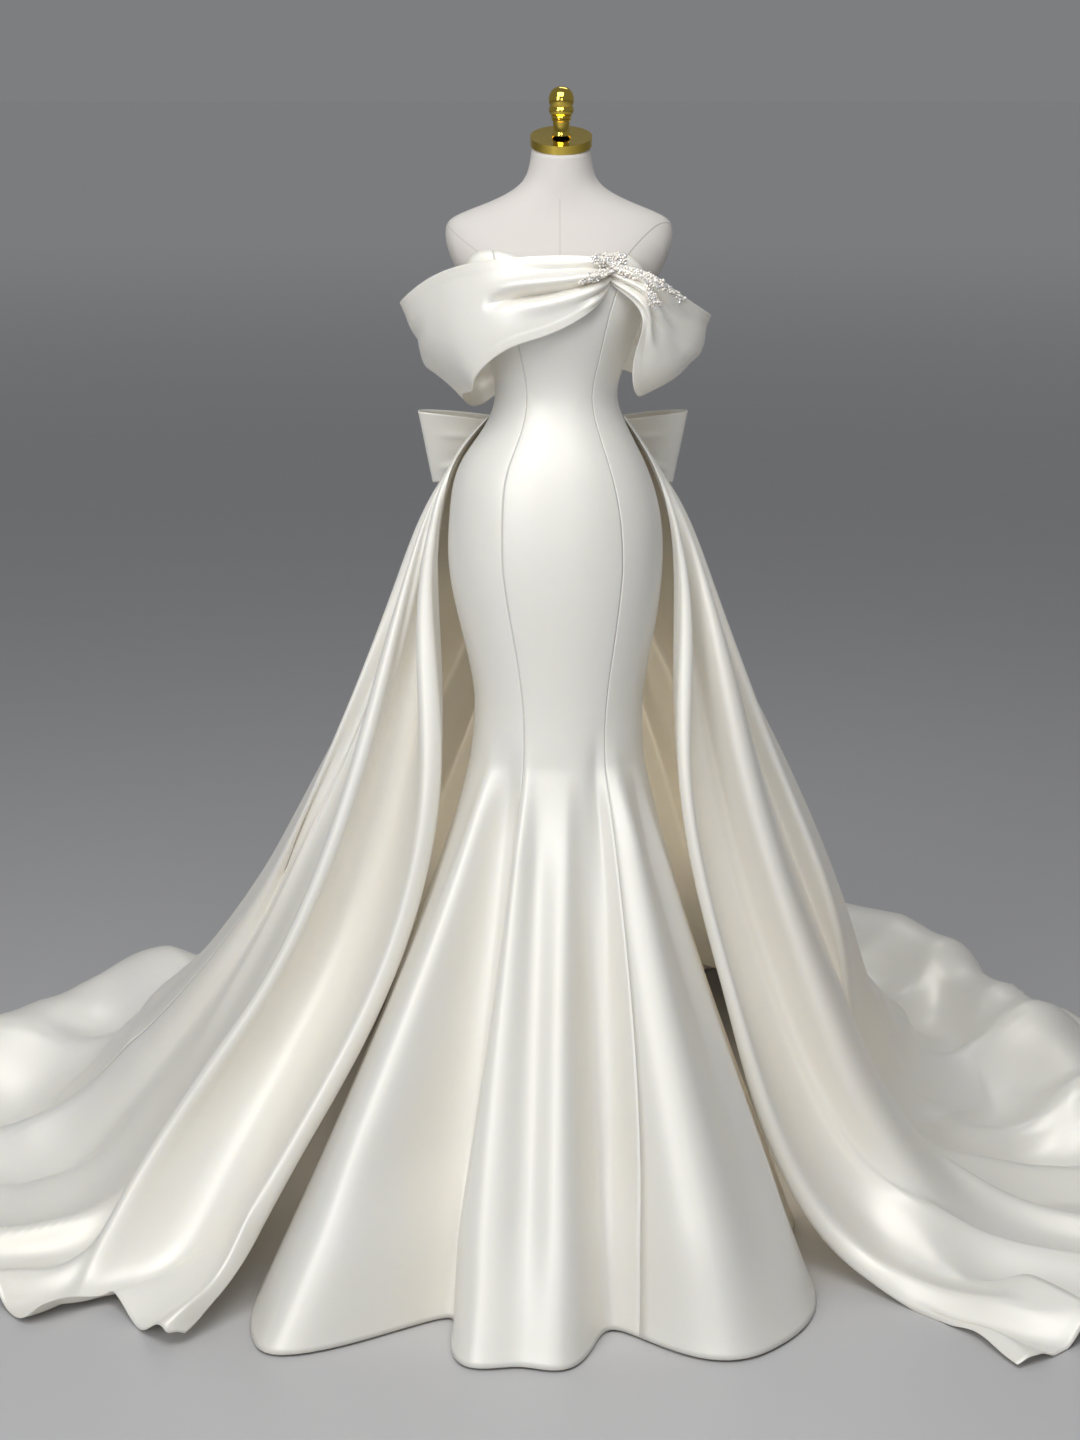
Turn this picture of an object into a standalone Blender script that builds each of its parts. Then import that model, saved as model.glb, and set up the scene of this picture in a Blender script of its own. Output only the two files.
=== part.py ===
"""Mermaid gown in heavy ivory satin, worn by a limbless dress form on a round stand.

Metres, +Z up, front towards -Y, viewer's right at +X. The origin lies on the floor under the pole.
Each cut piece of the gown is a closed wall of its own, offset from one smooth surface: the body
outline, the flared hem, the fold lines of the overskirt, the stations of the drape and of the bow.
"""

import math
from collections import namedtuple

import bmesh
import bpy
import numpy as np
from mathutils import Vector

CLOTH = 0.0016
TRAIN_CLOTH = 0.0015
SEAM_GAP = 0.0003
EASE = 0.0040
SNUG = 0.0009
WAISTLINE = 1.374
PROBE = 0.002
PROBE_DEGREES = 0.5
FLOOR_LIFT = 0.0016
CREASE_DEGREES = 40.0

KNEE_Z = 0.82
HEM_Z = 0.004
FLARE_POWER = 1.15

# The gown's outer surface over the form, and the form itself above the neckline.
Ring = namedtuple("Ring", "z left right front back round")
OUTLINE = [
    Ring(0.820, 0.138, 0.128, 0.112, 0.122, 2.1),
    Ring(0.900, 0.131, 0.126, 0.110, 0.125, 2.1),
    Ring(1.000, 0.147, 0.141, 0.116, 0.138, 2.1),
    Ring(1.120, 0.169, 0.155, 0.124, 0.148, 2.15),
    Ring(1.200, 0.166, 0.149, 0.122, 0.142, 2.2),
    Ring(1.270, 0.149, 0.126, 0.112, 0.120, 2.2),
    Ring(1.320, 0.116, 0.101, 0.099, 0.098, 2.15),
    Ring(1.374, 0.098, 0.084, 0.091, 0.085, 2.1),
    Ring(1.430, 0.110, 0.100, 0.106, 0.086, 2.15),
    Ring(1.490, 0.128, 0.122, 0.127, 0.090, 2.25),
    Ring(1.530, 0.146, 0.142, 0.120, 0.092, 2.3),
    Ring(1.565, 0.166, 0.160, 0.108, 0.092, 2.35),
    Ring(1.595, 0.177, 0.172, 0.092, 0.088, 2.35),
    Ring(1.618, 0.178, 0.172, 0.076, 0.080, 2.3),
    Ring(1.632, 0.171, 0.166, 0.066, 0.073, 2.25),
    Ring(1.646, 0.136, 0.133, 0.060, 0.066, 2.2),
    Ring(1.660, 0.098, 0.096, 0.056, 0.060, 2.1),
    Ring(1.679, 0.065, 0.063, 0.053, 0.056, 2.05),
    Ring(1.700, 0.053, 0.052, 0.051, 0.052, 2.0),
    Ring(1.722, 0.048, 0.048, 0.049, 0.050, 2.0),
]
FORM_BOTTOM_Z = 0.960
FORM_TOP_Z = 1.722
FORM_SIDES = 36
FORM_EDGE = 0.012
NECK_LEAN, LEAN_FROM, LEAN_OVER = 0.010, 1.62, 0.10
NECK_FRONT = 0.059

# The neckline's height round the body, in degrees from the front towards the viewer's right.
Edge = namedtuple("Edge", "degrees z")
NECKLINE = [
    Edge(-180, 1.496),
    Edge(-130, 1.496),
    Edge(-90, 1.500),
    Edge(-64, 1.545),
    Edge(-36, 1.590),
    Edge(-4, 1.576),
    Edge(28, 1.586),
    Edge(58, 1.540),
    Edge(90, 1.500),
    Edge(130, 1.496),
    Edge(180, 1.496),
]

# The hem on the floor, a row for each fold: its bearing and how far out it stands.
Fold = namedtuple("Fold", "degrees reach")
HEM = [
    Fold(-180, 0.400),
    Fold(-158, 0.345),
    Fold(-134, 0.420),
    Fold(-108, 0.375),
    Fold(-82, 0.452),
    Fold(-66, 0.512),
    Fold(-52, 0.578),
    Fold(-45, 0.560),
    Fold(-38, 0.400),
    Fold(-30, 0.322),
    Fold(-24, 0.400),
    Fold(-18, 0.455),
    Fold(-8, 0.440),
    Fold(3, 0.430),
    Fold(10, 0.340),
    Fold(16, 0.330),
    Fold(26, 0.448),
    Fold(40, 0.490),
    Fold(54, 0.468),
    Fold(72, 0.410),
    Fold(90, 0.372),
    Fold(112, 0.405),
    Fold(136, 0.352),
    Fold(160, 0.415),
    Fold(180, 0.400),
]

# Each seam runs from the neckline to the hem through these bearings at these heights.
SEAM_HEIGHTS = [1.50, 1.12, 0.85, HEM_Z]
Seam = namedtuple("Seam", "neck hip knee hem")
SEAMS = {
    "back_left": Seam(-150, -148, -148, -146),
    "side_left": Seam(-92, -92, -92, -92),
    "princess_left": Seam(-31, -29, -23, -24),
    "princess_right": Seam(31, 35, 31, 19),
    "side_right": Seam(92, 92, 92, 92),
    "back_right": Seam(150, 148, 148, 146),
}
Panel = namedtuple("Panel", "name start end columns")
PANELS = [
    Panel("gown_centre_front", "princess_left", "princess_right", 10),
    Panel("gown_side_front_left", "side_left", "princess_left", 10),
    Panel("gown_side_front_right", "princess_right", "side_right", 8),
    Panel("gown_side_back_left", "back_left", "side_left", 6),
    Panel("gown_side_back_right", "side_right", "back_right", 6),
    Panel("gown_centre_back_left", None, "back_left", 4),
    Panel("gown_centre_back_right", "back_right", None, 4),
]

# Rows of the gown below the bust, shared by the form inside it, and how many lie above them.
LEVELS = [
    1.440, 1.405, 1.374, 1.345, 1.305, 1.255, 1.200, 1.135, 1.065, 0.995, 0.925, 0.860, 0.795, 0.725,
    0.640, 0.540, 0.430, 0.315, 0.200, 0.090, HEM_Z,
]
BUST_ROWS = 4

# The overskirt's fold lines from the front edge to the centre back. Down to the hip a line lies
# against the gown, at a bearing and a stand-off. Below that it falls free, with its own x and y at
# each height, touches the floor and runs out over it to the hem.
WAIST_Z, SEAT_Z, HIP_Z, THIGH_Z, CALF_Z, ANKLE_Z, TOUCH_Z = 1.335, 1.225, 1.080, 0.800, 0.450, 0.140, 0.022
SWELL, SWELL_SHARE = 0.004, 0.4
Pleat = namedtuple("Pleat", "waist_deg waist_out seat_deg seat_out hip_deg hip_out")
Fall = namedtuple("Fall", "thigh_x thigh_y calf_x calf_y ankle_x ankle_y touch_x touch_y end_x end_y")
LEFT_PLEATS = [
    Pleat(-97, .0008, -91, .012, -92, .024),
    Pleat(-104, .004, -93, .016, -88, .048),
    Pleat(-110, .0008, -104, .012, -100, .040),
    Pleat(-116, .005, -105, .028, -97, .072),
    Pleat(-124, .0008, -116, .022, -110, .066),
    Pleat(-132, .005, -118, .044, -112, .104),
    Pleat(-146, .0008, -140, .030, -138, .075),
    Pleat(-158, .005, -155, .034, -155, .088),
    Pleat(-169, .0008, -168, .022, -168, .072),
    Pleat(180, .004, 180, .026, 180, .080),
]
LEFT_FALLS = [
    Fall(-.190, -.030, -.285, -.070, -.455, -.170, -.520, -.220, -.560, -.312),
    Fall(-.238, -.070, -.335, -.130, -.500, -.230, -.570, -.300, -.614, -.359),
    Fall(-.262, .030, -.375, .000, -.540, -.100, -.620, -.170, -.690, -.243),
    Fall(-.325, -.010, -.470, -.050, -.660, -.090, -.720, -.140, -.780, -.310),
    Fall(-.325, .090, -.480, .100, -.670, .100, -.780, .060, -.930, -.100),
    Fall(-.362, .090, -.548, .210, -.800, .330, -.930, .360, -1.130, .320),
    Fall(-.300, .260, -.500, .420, -.740, .620, -.880, .720, -1.120, .850),
    Fall(-.200, .400, -.360, .620, -.550, .900, -.660, 1.02, -.850, 1.28),
    Fall(-.100, .380, -.190, .660, -.280, 1.00, -.350, 1.15, -.450, 1.42),
    Fall(.00, .42, .00, .74, .00, 1.10, .00, 1.25, .00, 1.50),
]
RIGHT_PLEATS = [
    Pleat(97, .0008, 91, .012, 91, .022),
    Pleat(102, .004, 93, .016, 88, .042),
    Pleat(108, .0008, 101, .012, 98, .036),
    Pleat(114, .005, 103, .028, 95, .068),
    Pleat(122, .0008, 112, .022, 106, .062),
    Pleat(130, .005, 116, .040, 108, .090),
    Pleat(146, .0008, 140, .030, 138, .075),
    Pleat(158, .005, 155, .034, 155, .088),
    Pleat(169, .0008, 168, .022, 168, .072),
    Pleat(180, .004, 180, .026, 180, .080),
]
RIGHT_FALLS = [
    Fall(.193, -.030, .262, -.060, .365, -.090, .450, -.130, .664, -.438),
    Fall(.225, -.060, .305, -.110, .420, -.130, .520, -.180, .720, -.400),
    Fall(.245, .030, .350, .000, .490, -.050, .600, -.120, .800, -.330),
    Fall(.305, -.010, .430, -.020, .585, -.010, .700, -.030, .950, -.220),
    Fall(.300, .080, .430, .100, .580, .100, .720, .100, 1.04, -.020),
    Fall(.338, .070, .464, .120, .535, .210, .680, .250, 1.04, .180),
    Fall(.300, .240, .460, .380, .640, .560, .760, .660, 1.10, .850),
    Fall(.200, .400, .340, .620, .520, .880, .640, 1.00, .840, 1.26),
    Fall(.100, .380, .180, .660, .280, 1.00, .350, 1.15, .450, 1.42),
    Fall(.00, .42, .00, .74, .00, 1.10, .00, 1.25, .00, 1.50),
]
SPLIT_LINE = 5
FRONT_COLUMNS = 13
BACK_COLUMNS = 8
TRAIN_ROWS = 20

# Cloth heaped on the floor behind the gown: where, how long and wide, which way, how high.
Heap = namedtuple("Heap", "x y length width turn_deg height")
HEAPS = [
    Heap(-0.92, 0.66, 0.30, 0.12, 35, 0.185),
    Heap(-0.70, 0.70, 0.10, 0.09, 0, 0.160),
    Heap(-0.70, 0.98, 0.28, 0.09, 60, 0.150),
    Heap(-0.25, 1.22, 0.30, 0.09, 15, 0.070),
    Heap(0.28, 1.24, 0.30, 0.09, -20, 0.080),
    Heap(0.60, 1.02, 0.30, 0.12, -38, 0.250),
    Heap(0.86, 0.66, 0.26, 0.10, -60, 0.190),
    Heap(0.98, 0.36, 0.20, 0.07, -30, 0.060),
]
HEAP_FADE = 0.35

# The drape's stations, from the knot at the bust round the arm to the back: upper and lower edge.
Station = namedtuple("Station", "top_x top_y top_z low_x low_y low_z bulge")
DRAPE_LEFT = [
    Station(.085, -.134, 1.572, .085, -.138, 1.540, .001),
    Station(.045, -.139, 1.584, .042, -.146, 1.508, .004),
    Station(-.015, -.138, 1.586, -.018, -.148, 1.474, .006),
    Station(-.075, -.132, 1.582, -.078, -.140, 1.452, .008),
    Station(-.135, -.106, 1.572, -.122, -.110, 1.412, .012),
    Station(-.196, -.056, 1.546, -.138, -.064, 1.376, .018),
    Station(-.238, .004, 1.508, -.146, .010, 1.372, .022),
    Station(-.208, .078, 1.512, -.142, .068, 1.364, .018),
    Station(-.135, .116, 1.520, -.118, .108, 1.385, .010),
    Station(-.050, .094, 1.492, -.052, .090, 1.410, .001),
]
DRAPE_RIGHT = [
    Station(.091, -.133, 1.574, .092, -.137, 1.542, .001),
    Station(.126, -.122, 1.560, .116, -.124, 1.500, .004),
    Station(.172, -.082, 1.528, .118, -.104, 1.434, .008),
    Station(.220, -.008, 1.492, .126, -.050, 1.382, .016),
    Station(.205, .070, 1.492, .138, .050, 1.378, .016),
    Station(.135, .112, 1.508, .110, .102, 1.392, .010),
    Station(.050, .094, 1.492, .052, .090, 1.410, .001),
]
DRAPE_COLUMNS = 22
DRAPE_ROWS = 5

# The beaded motif, which slopes down towards the viewer's right over the drapes' gathered ends.
MOTIF_X, MOTIF_Z = 0.090, 1.560
MOTIF_WIDE, MOTIF_TALL, MOTIF_SLOPE, MOTIF_GAP = 0.070, 0.030, 0.25, 0.0006
MOTIF_ROWS = 6
MOTIF_COLUMNS = 11
MOTIF_LIES_ON = [
    "drape_front_left",
    "drape_sleeve_right",
    "gown_centre_front",
    "gown_side_front_right",
    "form_torso",
]

# The bow at the back waist. A loop goes out on the far layer and comes back on the near one.
BOW_Z = 1.272
BOW_LEAN = 0.30
Turn = namedtuple("Turn", "out depth half_height")
BOW_LOOP = [
    Turn(.0178, .014, .030),
    Turn(.080, .036, .042),
    Turn(.150, .038, .052),
    Turn(.194, .018, .057),
    Turn(.200, .000, .058),
    Turn(.194, -.012, .057),
    Turn(.150, -.018, .052),
    Turn(.080, -.014, .042),
    Turn(.0178, -.006, .030),
]
BOW_REACH = {"bow_loop_left": 1.10, "bow_loop_right": 0.98}
BOW_LIES_ON = ["overskirt_back_left", "overskirt_back_right"]
BOW_COLUMNS = 20
BOW_ROWS = 4
BOW_TAPER = 0.10
KNOT_WIDE, KNOT_DEEP, KNOT_TALL = 0.034, 0.044, 0.070
KNOT_SIDES = 20
Band = namedtuple("Band", "share swell")
KNOT_BANDS = [Band(-0.5, 0.90), Band(-0.25, 1.0), Band(0.0, 0.94), Band(0.25, 1.0), Band(0.5, 0.90)]

# The stand: a round base with a turned-down edge, a collar and a pole.
BASE_RADIUS, BASE_HEIGHT, BASE_EDGE = 0.150, 0.018, 0.004
BOSS_RADIUS, BOSS_HEIGHT = 0.030, 0.004
COLLAR_RADIUS, COLLAR_HEIGHT, COLLAR_SLOPE = 0.022, 0.022, 0.006
POLE_RADIUS = 0.014
POLE_SIDES = 24

# The neck's plate and the finial on it, as radius and height up its own axis.
DISC_RADIUS, DISC_THICK, DISC_EDGE = 0.0455, 0.013, 0.0015
DISC_TILT = 18.0
FINIAL_TILT = 9.0
TURNED_SIDES = 40
FINIAL_SIDES = 28
Turned = namedtuple("Turned", "radius height")
FINIAL = [
    Turned(0.0135, 0.000),
    Turned(0.0140, 0.004),
    Turned(0.0125, 0.009),
    Turned(0.0105, 0.013),
    Turned(0.0105, 0.020),
    Turned(0.0145, 0.024),
    Turned(0.0180, 0.029),
    Turned(0.0190, 0.034),
    Turned(0.0172, 0.039),
    Turned(0.0120, 0.043),
    Turned(0.0140, 0.046),
    Turned(0.0180, 0.050),
    Turned(0.0192, 0.056),
    Turned(0.0180, 0.062),
    Turned(0.0130, 0.067),
    Turned(0.0060, 0.070),
]

Finish = namedtuple("Finish", "name colour roughness metallic")
SATIN = Finish("Ivory satin", (0.88, 0.86, 0.79), 0.34, 0.0)
LINEN = Finish("Form linen", (0.84, 0.81, 0.76), 0.75, 0.0)
GOLD = Finish("Polished gold", (0.95, 0.68, 0.20), 0.12, 1.0)
STEEL = Finish("Stand lacquer", (0.80, 0.78, 0.74), 0.40, 0.0)


def clear_scene():
    for old in list(bpy.data.objects):
        bpy.data.objects.remove(old, do_unlink=True)


def spline(knots, values, at):
    """A natural cubic spline through the values, flat beyond its ends."""
    knots = np.asarray(knots, float)
    values = np.asarray(values, float)
    at = np.clip(np.asarray(at, float), knots[0], knots[-1])
    count = len(knots)
    step = np.diff(knots)
    rise = np.diff(values, axis=0) / (step if values.ndim == 1 else step[:, None])
    system = np.eye(count)
    side = np.zeros_like(values)
    for i in range(1, count - 1):
        system[i, i - 1] = step[i - 1]
        system[i, i] = 2 * (step[i - 1] + step[i])
        system[i, i + 1] = step[i]
        side[i] = 6 * (rise[i] - rise[i - 1])
    bend = np.linalg.solve(system, side)
    i = np.clip(np.searchsorted(knots, at, side="right") - 1, 0, count - 2)
    right = (at - knots[i]) / step[i]
    width = step[i]
    if values.ndim > 1:
        right = right[..., None]
        width = width[..., None]
    left = 1 - right
    cubic = (left**3 - left) * bend[i] + (right**3 - right) * bend[i + 1]
    return left * values[i] + right * values[i + 1] + cubic * width**2 / 6


def column(rows, name):
    return [getattr(row, name) for row in rows]


def outline_point(degrees, z, inset=0.0):
    """A point of the body outline at a bearing and height, moved in by inset."""
    at = np.clip(z, OUTLINE[0].z, OUTLINE[-1].z)
    side = "right" if math.sin(math.radians(degrees)) > 0 else "left"
    face = "front" if math.cos(math.radians(degrees)) > 0 else "back"
    heights = column(OUTLINE, "z")
    wide = float(spline(heights, column(OUTLINE, side), at)) - inset
    deep = float(spline(heights, column(OUTLINE, face), at)) - inset
    power = 2 / float(spline(heights, column(OUTLINE, "round"), at))
    across = math.sin(math.radians(degrees))
    along = math.cos(math.radians(degrees))
    lean = -NECK_LEAN * max(0.0, min(1.0, (at - LEAN_FROM) / LEAN_OVER))
    return np.array([
        math.copysign(wide * abs(across) ** power, across),
        lean - math.copysign(deep * abs(along) ** power, along),
        z,
    ])


def hem_reach(degrees):
    bearing = (degrees + 180) % 360 - 180
    return float(spline(column(HEM, "degrees"), column(HEM, "reach"), bearing))


def gown_point(degrees, z):
    """A point of the gown's outer surface, from the neckline to the hem."""
    if z >= KNEE_Z:
        return outline_point(degrees, z)
    share = ((KNEE_Z - z) / (KNEE_Z - HEM_Z)) ** FLARE_POWER
    knee = outline_point(degrees, KNEE_Z)
    reach = hem_reach(degrees)
    turn = math.radians(degrees)
    hem = np.array([reach * math.sin(turn), -reach * math.cos(turn), 0.0])
    point = knee * (1 - share) + hem * share
    point[2] = z
    return point


def seam_bearing(name, z, side):
    """The bearing of a seam at a height; the centre back seam has none of its own."""
    if name is None:
        return 180.0 * side
    return float(np.interp(z, SEAM_HEIGHTS[::-1], SEAMS[name][::-1]))


def row_heights(top):
    """Heights from the neckline down to the hem."""
    return list(np.linspace(top, LEVELS[0], BUST_ROWS, endpoint=False)) + LEVELS


def normals_of(grid):
    """The unit normals of a grid of points, by differences along its rows and columns."""
    down = np.gradient(grid, axis=0)
    along = np.gradient(grid, axis=1)
    normal = np.cross(along, down)
    length = np.linalg.norm(normal, axis=2, keepdims=True)
    return normal / np.maximum(length, 1e-9)


def wall(name, outer, inner, finish):
    """A closed wall between two grids of points, joined round their edges."""
    rows, columns = outer.shape[:2]
    mesh = bpy.data.meshes.new(name)
    shell = bmesh.new()
    front = [[shell.verts.new(outer[r, c]) for c in range(columns)] for r in range(rows)]
    back = [[shell.verts.new(inner[r, c]) for c in range(columns)] for r in range(rows)]
    for r in range(rows - 1):
        for c in range(columns - 1):
            shell.faces.new([front[r][c], front[r + 1][c], front[r + 1][c + 1], front[r][c + 1]])
            shell.faces.new([back[r][c], back[r][c + 1], back[r + 1][c + 1], back[r + 1][c]])
    ring = [(r, 0) for r in range(rows - 1)]
    ring += [(rows - 1, c) for c in range(columns - 1)]
    ring += [(r, columns - 1) for r in range(rows - 1, 0, -1)]
    ring += [(0, c) for c in range(columns - 1, 0, -1)]
    for (r0, c0), (r1, c1) in zip(ring, ring[1:] + ring[:1]):
        shell.faces.new([front[r0][c0], back[r0][c0], back[r1][c1], front[r1][c1]])
    bmesh.ops.recalc_face_normals(shell, faces=shell.faces)
    bmesh.ops.triangulate(shell, faces=shell.faces)
    shell.to_mesh(mesh)
    shell.free()
    return add_object(name, mesh, finish)


def add_object(name, mesh, finish):
    made = bpy.data.objects.new(name, mesh)
    bpy.context.scene.collection.objects.link(made)
    mesh.materials.append(material(finish))
    mesh.shade_smooth()
    return made


def material(finish):
    found = bpy.data.materials.get(finish.name)
    if found:
        return found
    made = bpy.data.materials.new(finish.name)
    made.use_nodes = True
    shader = made.node_tree.nodes["Principled BSDF"]
    shader.inputs["Base Color"].default_value = (*finish.colour, 1.0)
    shader.inputs["Roughness"].default_value = finish.roughness
    shader.inputs["Metallic"].default_value = finish.metallic
    return made


def open_seams(grid):
    """Draws the first and last column in by half a seam gap, as the next piece lies beside them."""
    grid = grid.copy()
    for edge, beside in ((0, 1), (-1, -2)):
        away = grid[:, beside] - grid[:, edge]
        away /= np.linalg.norm(away, axis=1, keepdims=True)
        grid[:, edge] += away * SEAM_GAP / 2
    return grid


def gown_normal(degrees, z):
    """The gown's outward direction, found from the surface on both sides of the point."""
    along = gown_point(degrees + PROBE_DEGREES, z) - gown_point(degrees - PROBE_DEGREES, z)
    up = gown_point(degrees, z + PROBE) - gown_point(degrees, max(z - PROBE, HEM_Z))
    if z <= HEM_Z:
        up = np.array([0.0, 0.0, 1.0])
    normal = np.cross(along, up)
    return normal / np.linalg.norm(normal)


def gown_panel(panel):
    side = -1 if panel.end == "back_left" else 1
    outer = []
    normal = []
    for row in range(BUST_ROWS + len(LEVELS)):
        points = []
        normals = []
        for step in np.linspace(0, 1, panel.columns):
            start = seam_bearing(panel.start, LEVELS[0], side)
            end = seam_bearing(panel.end, LEVELS[0], side)
            bearing = start + step * (end - start)
            top = float(spline(column(NECKLINE, "degrees"), column(NECKLINE, "z"), bearing))
            z = row_heights(top)[row]
            start = seam_bearing(panel.start, z, side)
            end = seam_bearing(panel.end, z, side)
            bearing = start + step * (end - start)
            points.append(gown_point(bearing, z))
            normals.append(gown_normal(bearing, z))
        outer.append(points)
        normal.append(normals)
    outer = open_seams(np.array(outer))
    wall(panel.name, outer, outer - np.array(normal) * CLOTH, SATIN)


def form_torso():
    """The form inside the gown and above it: clear of the cloth, and snug only at the waistline."""
    above = [ring.z for ring in OUTLINE if ring.z > LEVELS[0]]
    heights = sorted(above + [z for z in LEVELS if z > FORM_BOTTOM_Z])
    shell = bmesh.new()
    rings = []
    for z in [FORM_BOTTOM_Z, FORM_BOTTOM_Z + FORM_EDGE] + heights:
        inset = CLOTH + (SNUG if z == WAISTLINE else EASE)
        if z == FORM_BOTTOM_Z:
            inset += FORM_EDGE
        ring = [outline_point(d, z, inset) for d in bearings(FORM_SIDES)]
        if z == FORM_TOP_Z:
            ring = [(x, y, neck_top(y)) for x, y, _ in ring]
        rings.append([shell.verts.new(point) for point in ring])
    close_rings(shell, rings)
    finish_solid("form_torso", shell, LINEN)


def neck_top(y):
    """The height of the neck's cut face, which tips forward like the disc on it."""
    return FORM_TOP_Z + (y + NECK_FRONT) * math.tan(math.radians(DISC_TILT))


def bearings(sides):
    return [-180 + 360 * i / sides for i in range(sides)]


def close_rings(shell, rings):
    count = len(rings[0])
    for low, high in zip(rings, rings[1:]):
        for i in range(count):
            j = (i + 1) % count
            shell.faces.new([low[i], low[j], high[j], high[i]])
    shell.faces.new(rings[0][::-1])
    shell.faces.new(rings[-1])


def finish_solid(name, shell, finish):
    bmesh.ops.recalc_face_normals(shell, faces=shell.faces)
    bmesh.ops.triangulate(shell, faces=shell.faces)
    mesh = bpy.data.meshes.new(name)
    shell.to_mesh(mesh)
    shell.free()
    made = add_object(name, mesh, finish)
    mesh.set_sharp_from_angle(angle=math.radians(CREASE_DEGREES))
    return made


def turned(name, profile, finish, place=(0, 0, 0), tilt=0.0, sides=TURNED_SIDES):
    """A solid turned from (radius, height) points, tipped forward by tilt degrees and put at place."""
    lean = math.radians(tilt)
    shell = bmesh.new()
    rings = []
    for radius, height in profile:
        ring = []
        for i in range(sides):
            turn = 2 * math.pi * i / sides
            x = radius * math.cos(turn)
            y = radius * math.sin(turn)
            tipped = y * math.cos(lean) - height * math.sin(lean)
            raised = y * math.sin(lean) + height * math.cos(lean)
            ring.append(shell.verts.new((place[0] + x, place[1] + tipped, place[2] + raised)))
        rings.append(ring)
    close_rings(shell, rings)
    return finish_solid(name, shell, finish)


def stand():
    turned("stand_base", [
        (BASE_RADIUS, 0.0),
        (BASE_RADIUS, BASE_HEIGHT - BASE_EDGE),
        (BASE_RADIUS - BASE_EDGE, BASE_HEIGHT),
        (BOSS_RADIUS, BASE_HEIGHT + BOSS_HEIGHT),
    ], STEEL)
    foot = BASE_HEIGHT + BOSS_HEIGHT + SEAM_GAP
    turned("stand_pole", [
        (COLLAR_RADIUS, foot),
        (COLLAR_RADIUS, foot + COLLAR_HEIGHT),
        (POLE_RADIUS, foot + COLLAR_HEIGHT + COLLAR_SLOPE),
        (POLE_RADIUS, FORM_BOTTOM_Z - SEAM_GAP),
    ], STEEL, sides=POLE_SIDES)


def neck_cap():
    """The gold disc on the tilted neck and the turned finial on it."""
    lean = math.radians(DISC_TILT)
    seat_z = neck_top(-NECK_LEAN) + SEAM_GAP / math.cos(lean)
    seat = (0.0, -NECK_LEAN, seat_z)
    turned("neck_disc", [
        (DISC_RADIUS - DISC_EDGE, 0.0),
        (DISC_RADIUS, DISC_EDGE),
        (DISC_RADIUS, DISC_THICK - DISC_EDGE),
        (DISC_RADIUS - DISC_EDGE, DISC_THICK),
    ], GOLD, seat, DISC_TILT)
    rise = DISC_THICK + SEAM_GAP + FINIAL[0].radius * math.sin(math.radians(DISC_TILT - FINIAL_TILT))
    foot = (seat[0], seat[1] - rise * math.sin(lean), seat[2] + rise * math.cos(lean))
    turned("neck_finial", FINIAL, GOLD, foot, FINIAL_TILT, sides=FINIAL_SIDES)


def line_points(pleat, fall):
    """A fold line's points from the waist down, over the floor and out to the hem."""
    halfway = (
        (pleat.waist_deg + pleat.seat_deg) / 2,
        (WAIST_Z + SEAT_Z) / 2,
        pleat.waist_out + SWELL_SHARE * (pleat.seat_out - pleat.waist_out) + SWELL,
    )
    held = [
        (pleat.waist_deg, WAIST_Z, pleat.waist_out),
        halfway,
        (pleat.seat_deg, SEAT_Z, pleat.seat_out),
        (pleat.hip_deg, HIP_Z, pleat.hip_out),
    ]
    free = zip(fall[0::2], fall[1::2], (THIGH_Z, CALF_Z, ANKLE_Z, TOUCH_Z, FLOOR_LIFT))
    points = [outline_point(degrees, z, -out) for degrees, z, out in held]
    return np.array(points + [np.array(point) for point in free])


def heap_height(x, y):
    total = 0.0
    for heap in HEAPS:
        turn = math.radians(heap.turn_deg)
        along = (x - heap.x) * math.cos(turn) + (y - heap.y) * math.sin(turn)
        across = (y - heap.y) * math.cos(turn) - (x - heap.x) * math.sin(turn)
        total = total + heap.height * np.exp(-((along / heap.length) ** 2) - (across / heap.width) ** 2)
    return total


def overskirt_side(pleats, falls, across):
    """One side of the overskirt from its front edge to the centre back, as points and normals."""
    knots = np.arange(len(pleats), dtype=float)
    tracks = np.array([line_points(pleat, fall) for pleat, fall in zip(pleats, falls)])
    folded = np.stack([spline(knots, level, across) for level in tracks.swapaxes(0, 1)], axis=1)
    steps = np.linspace(0, 1, TRAIN_ROWS)
    grid = np.zeros((TRAIN_ROWS, len(across), 3))
    for c in range(len(across)):
        span = np.linalg.norm(np.diff(folded[c], axis=0), axis=1)
        length = np.concatenate([[0], np.cumsum(span)])
        grid[:, c] = spline(length / length[-1], folded[c], steps)
    fade = np.clip(1 - grid[:, :, 2] / HEAP_FADE, 0, 1)
    grid[:, :, 2] += heap_height(grid[:, :, 0], grid[:, :, 1]) * fade
    grid[:, :, 2] = np.maximum(grid[:, :, 2], FLOOR_LIFT)
    normal = facing_out(grid, normals_of(grid))
    normal[:, -1, 0] = 0
    normal[:, -1] /= np.linalg.norm(normal[:, -1], axis=1, keepdims=True)
    return grid, normal


def facing_out(grid, normal):
    """The normals turned to point away from the pole, judged over the whole grid."""
    flat = grid * (1, 1, 0)
    return -normal if (normal * flat).sum() < 0 else normal


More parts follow.
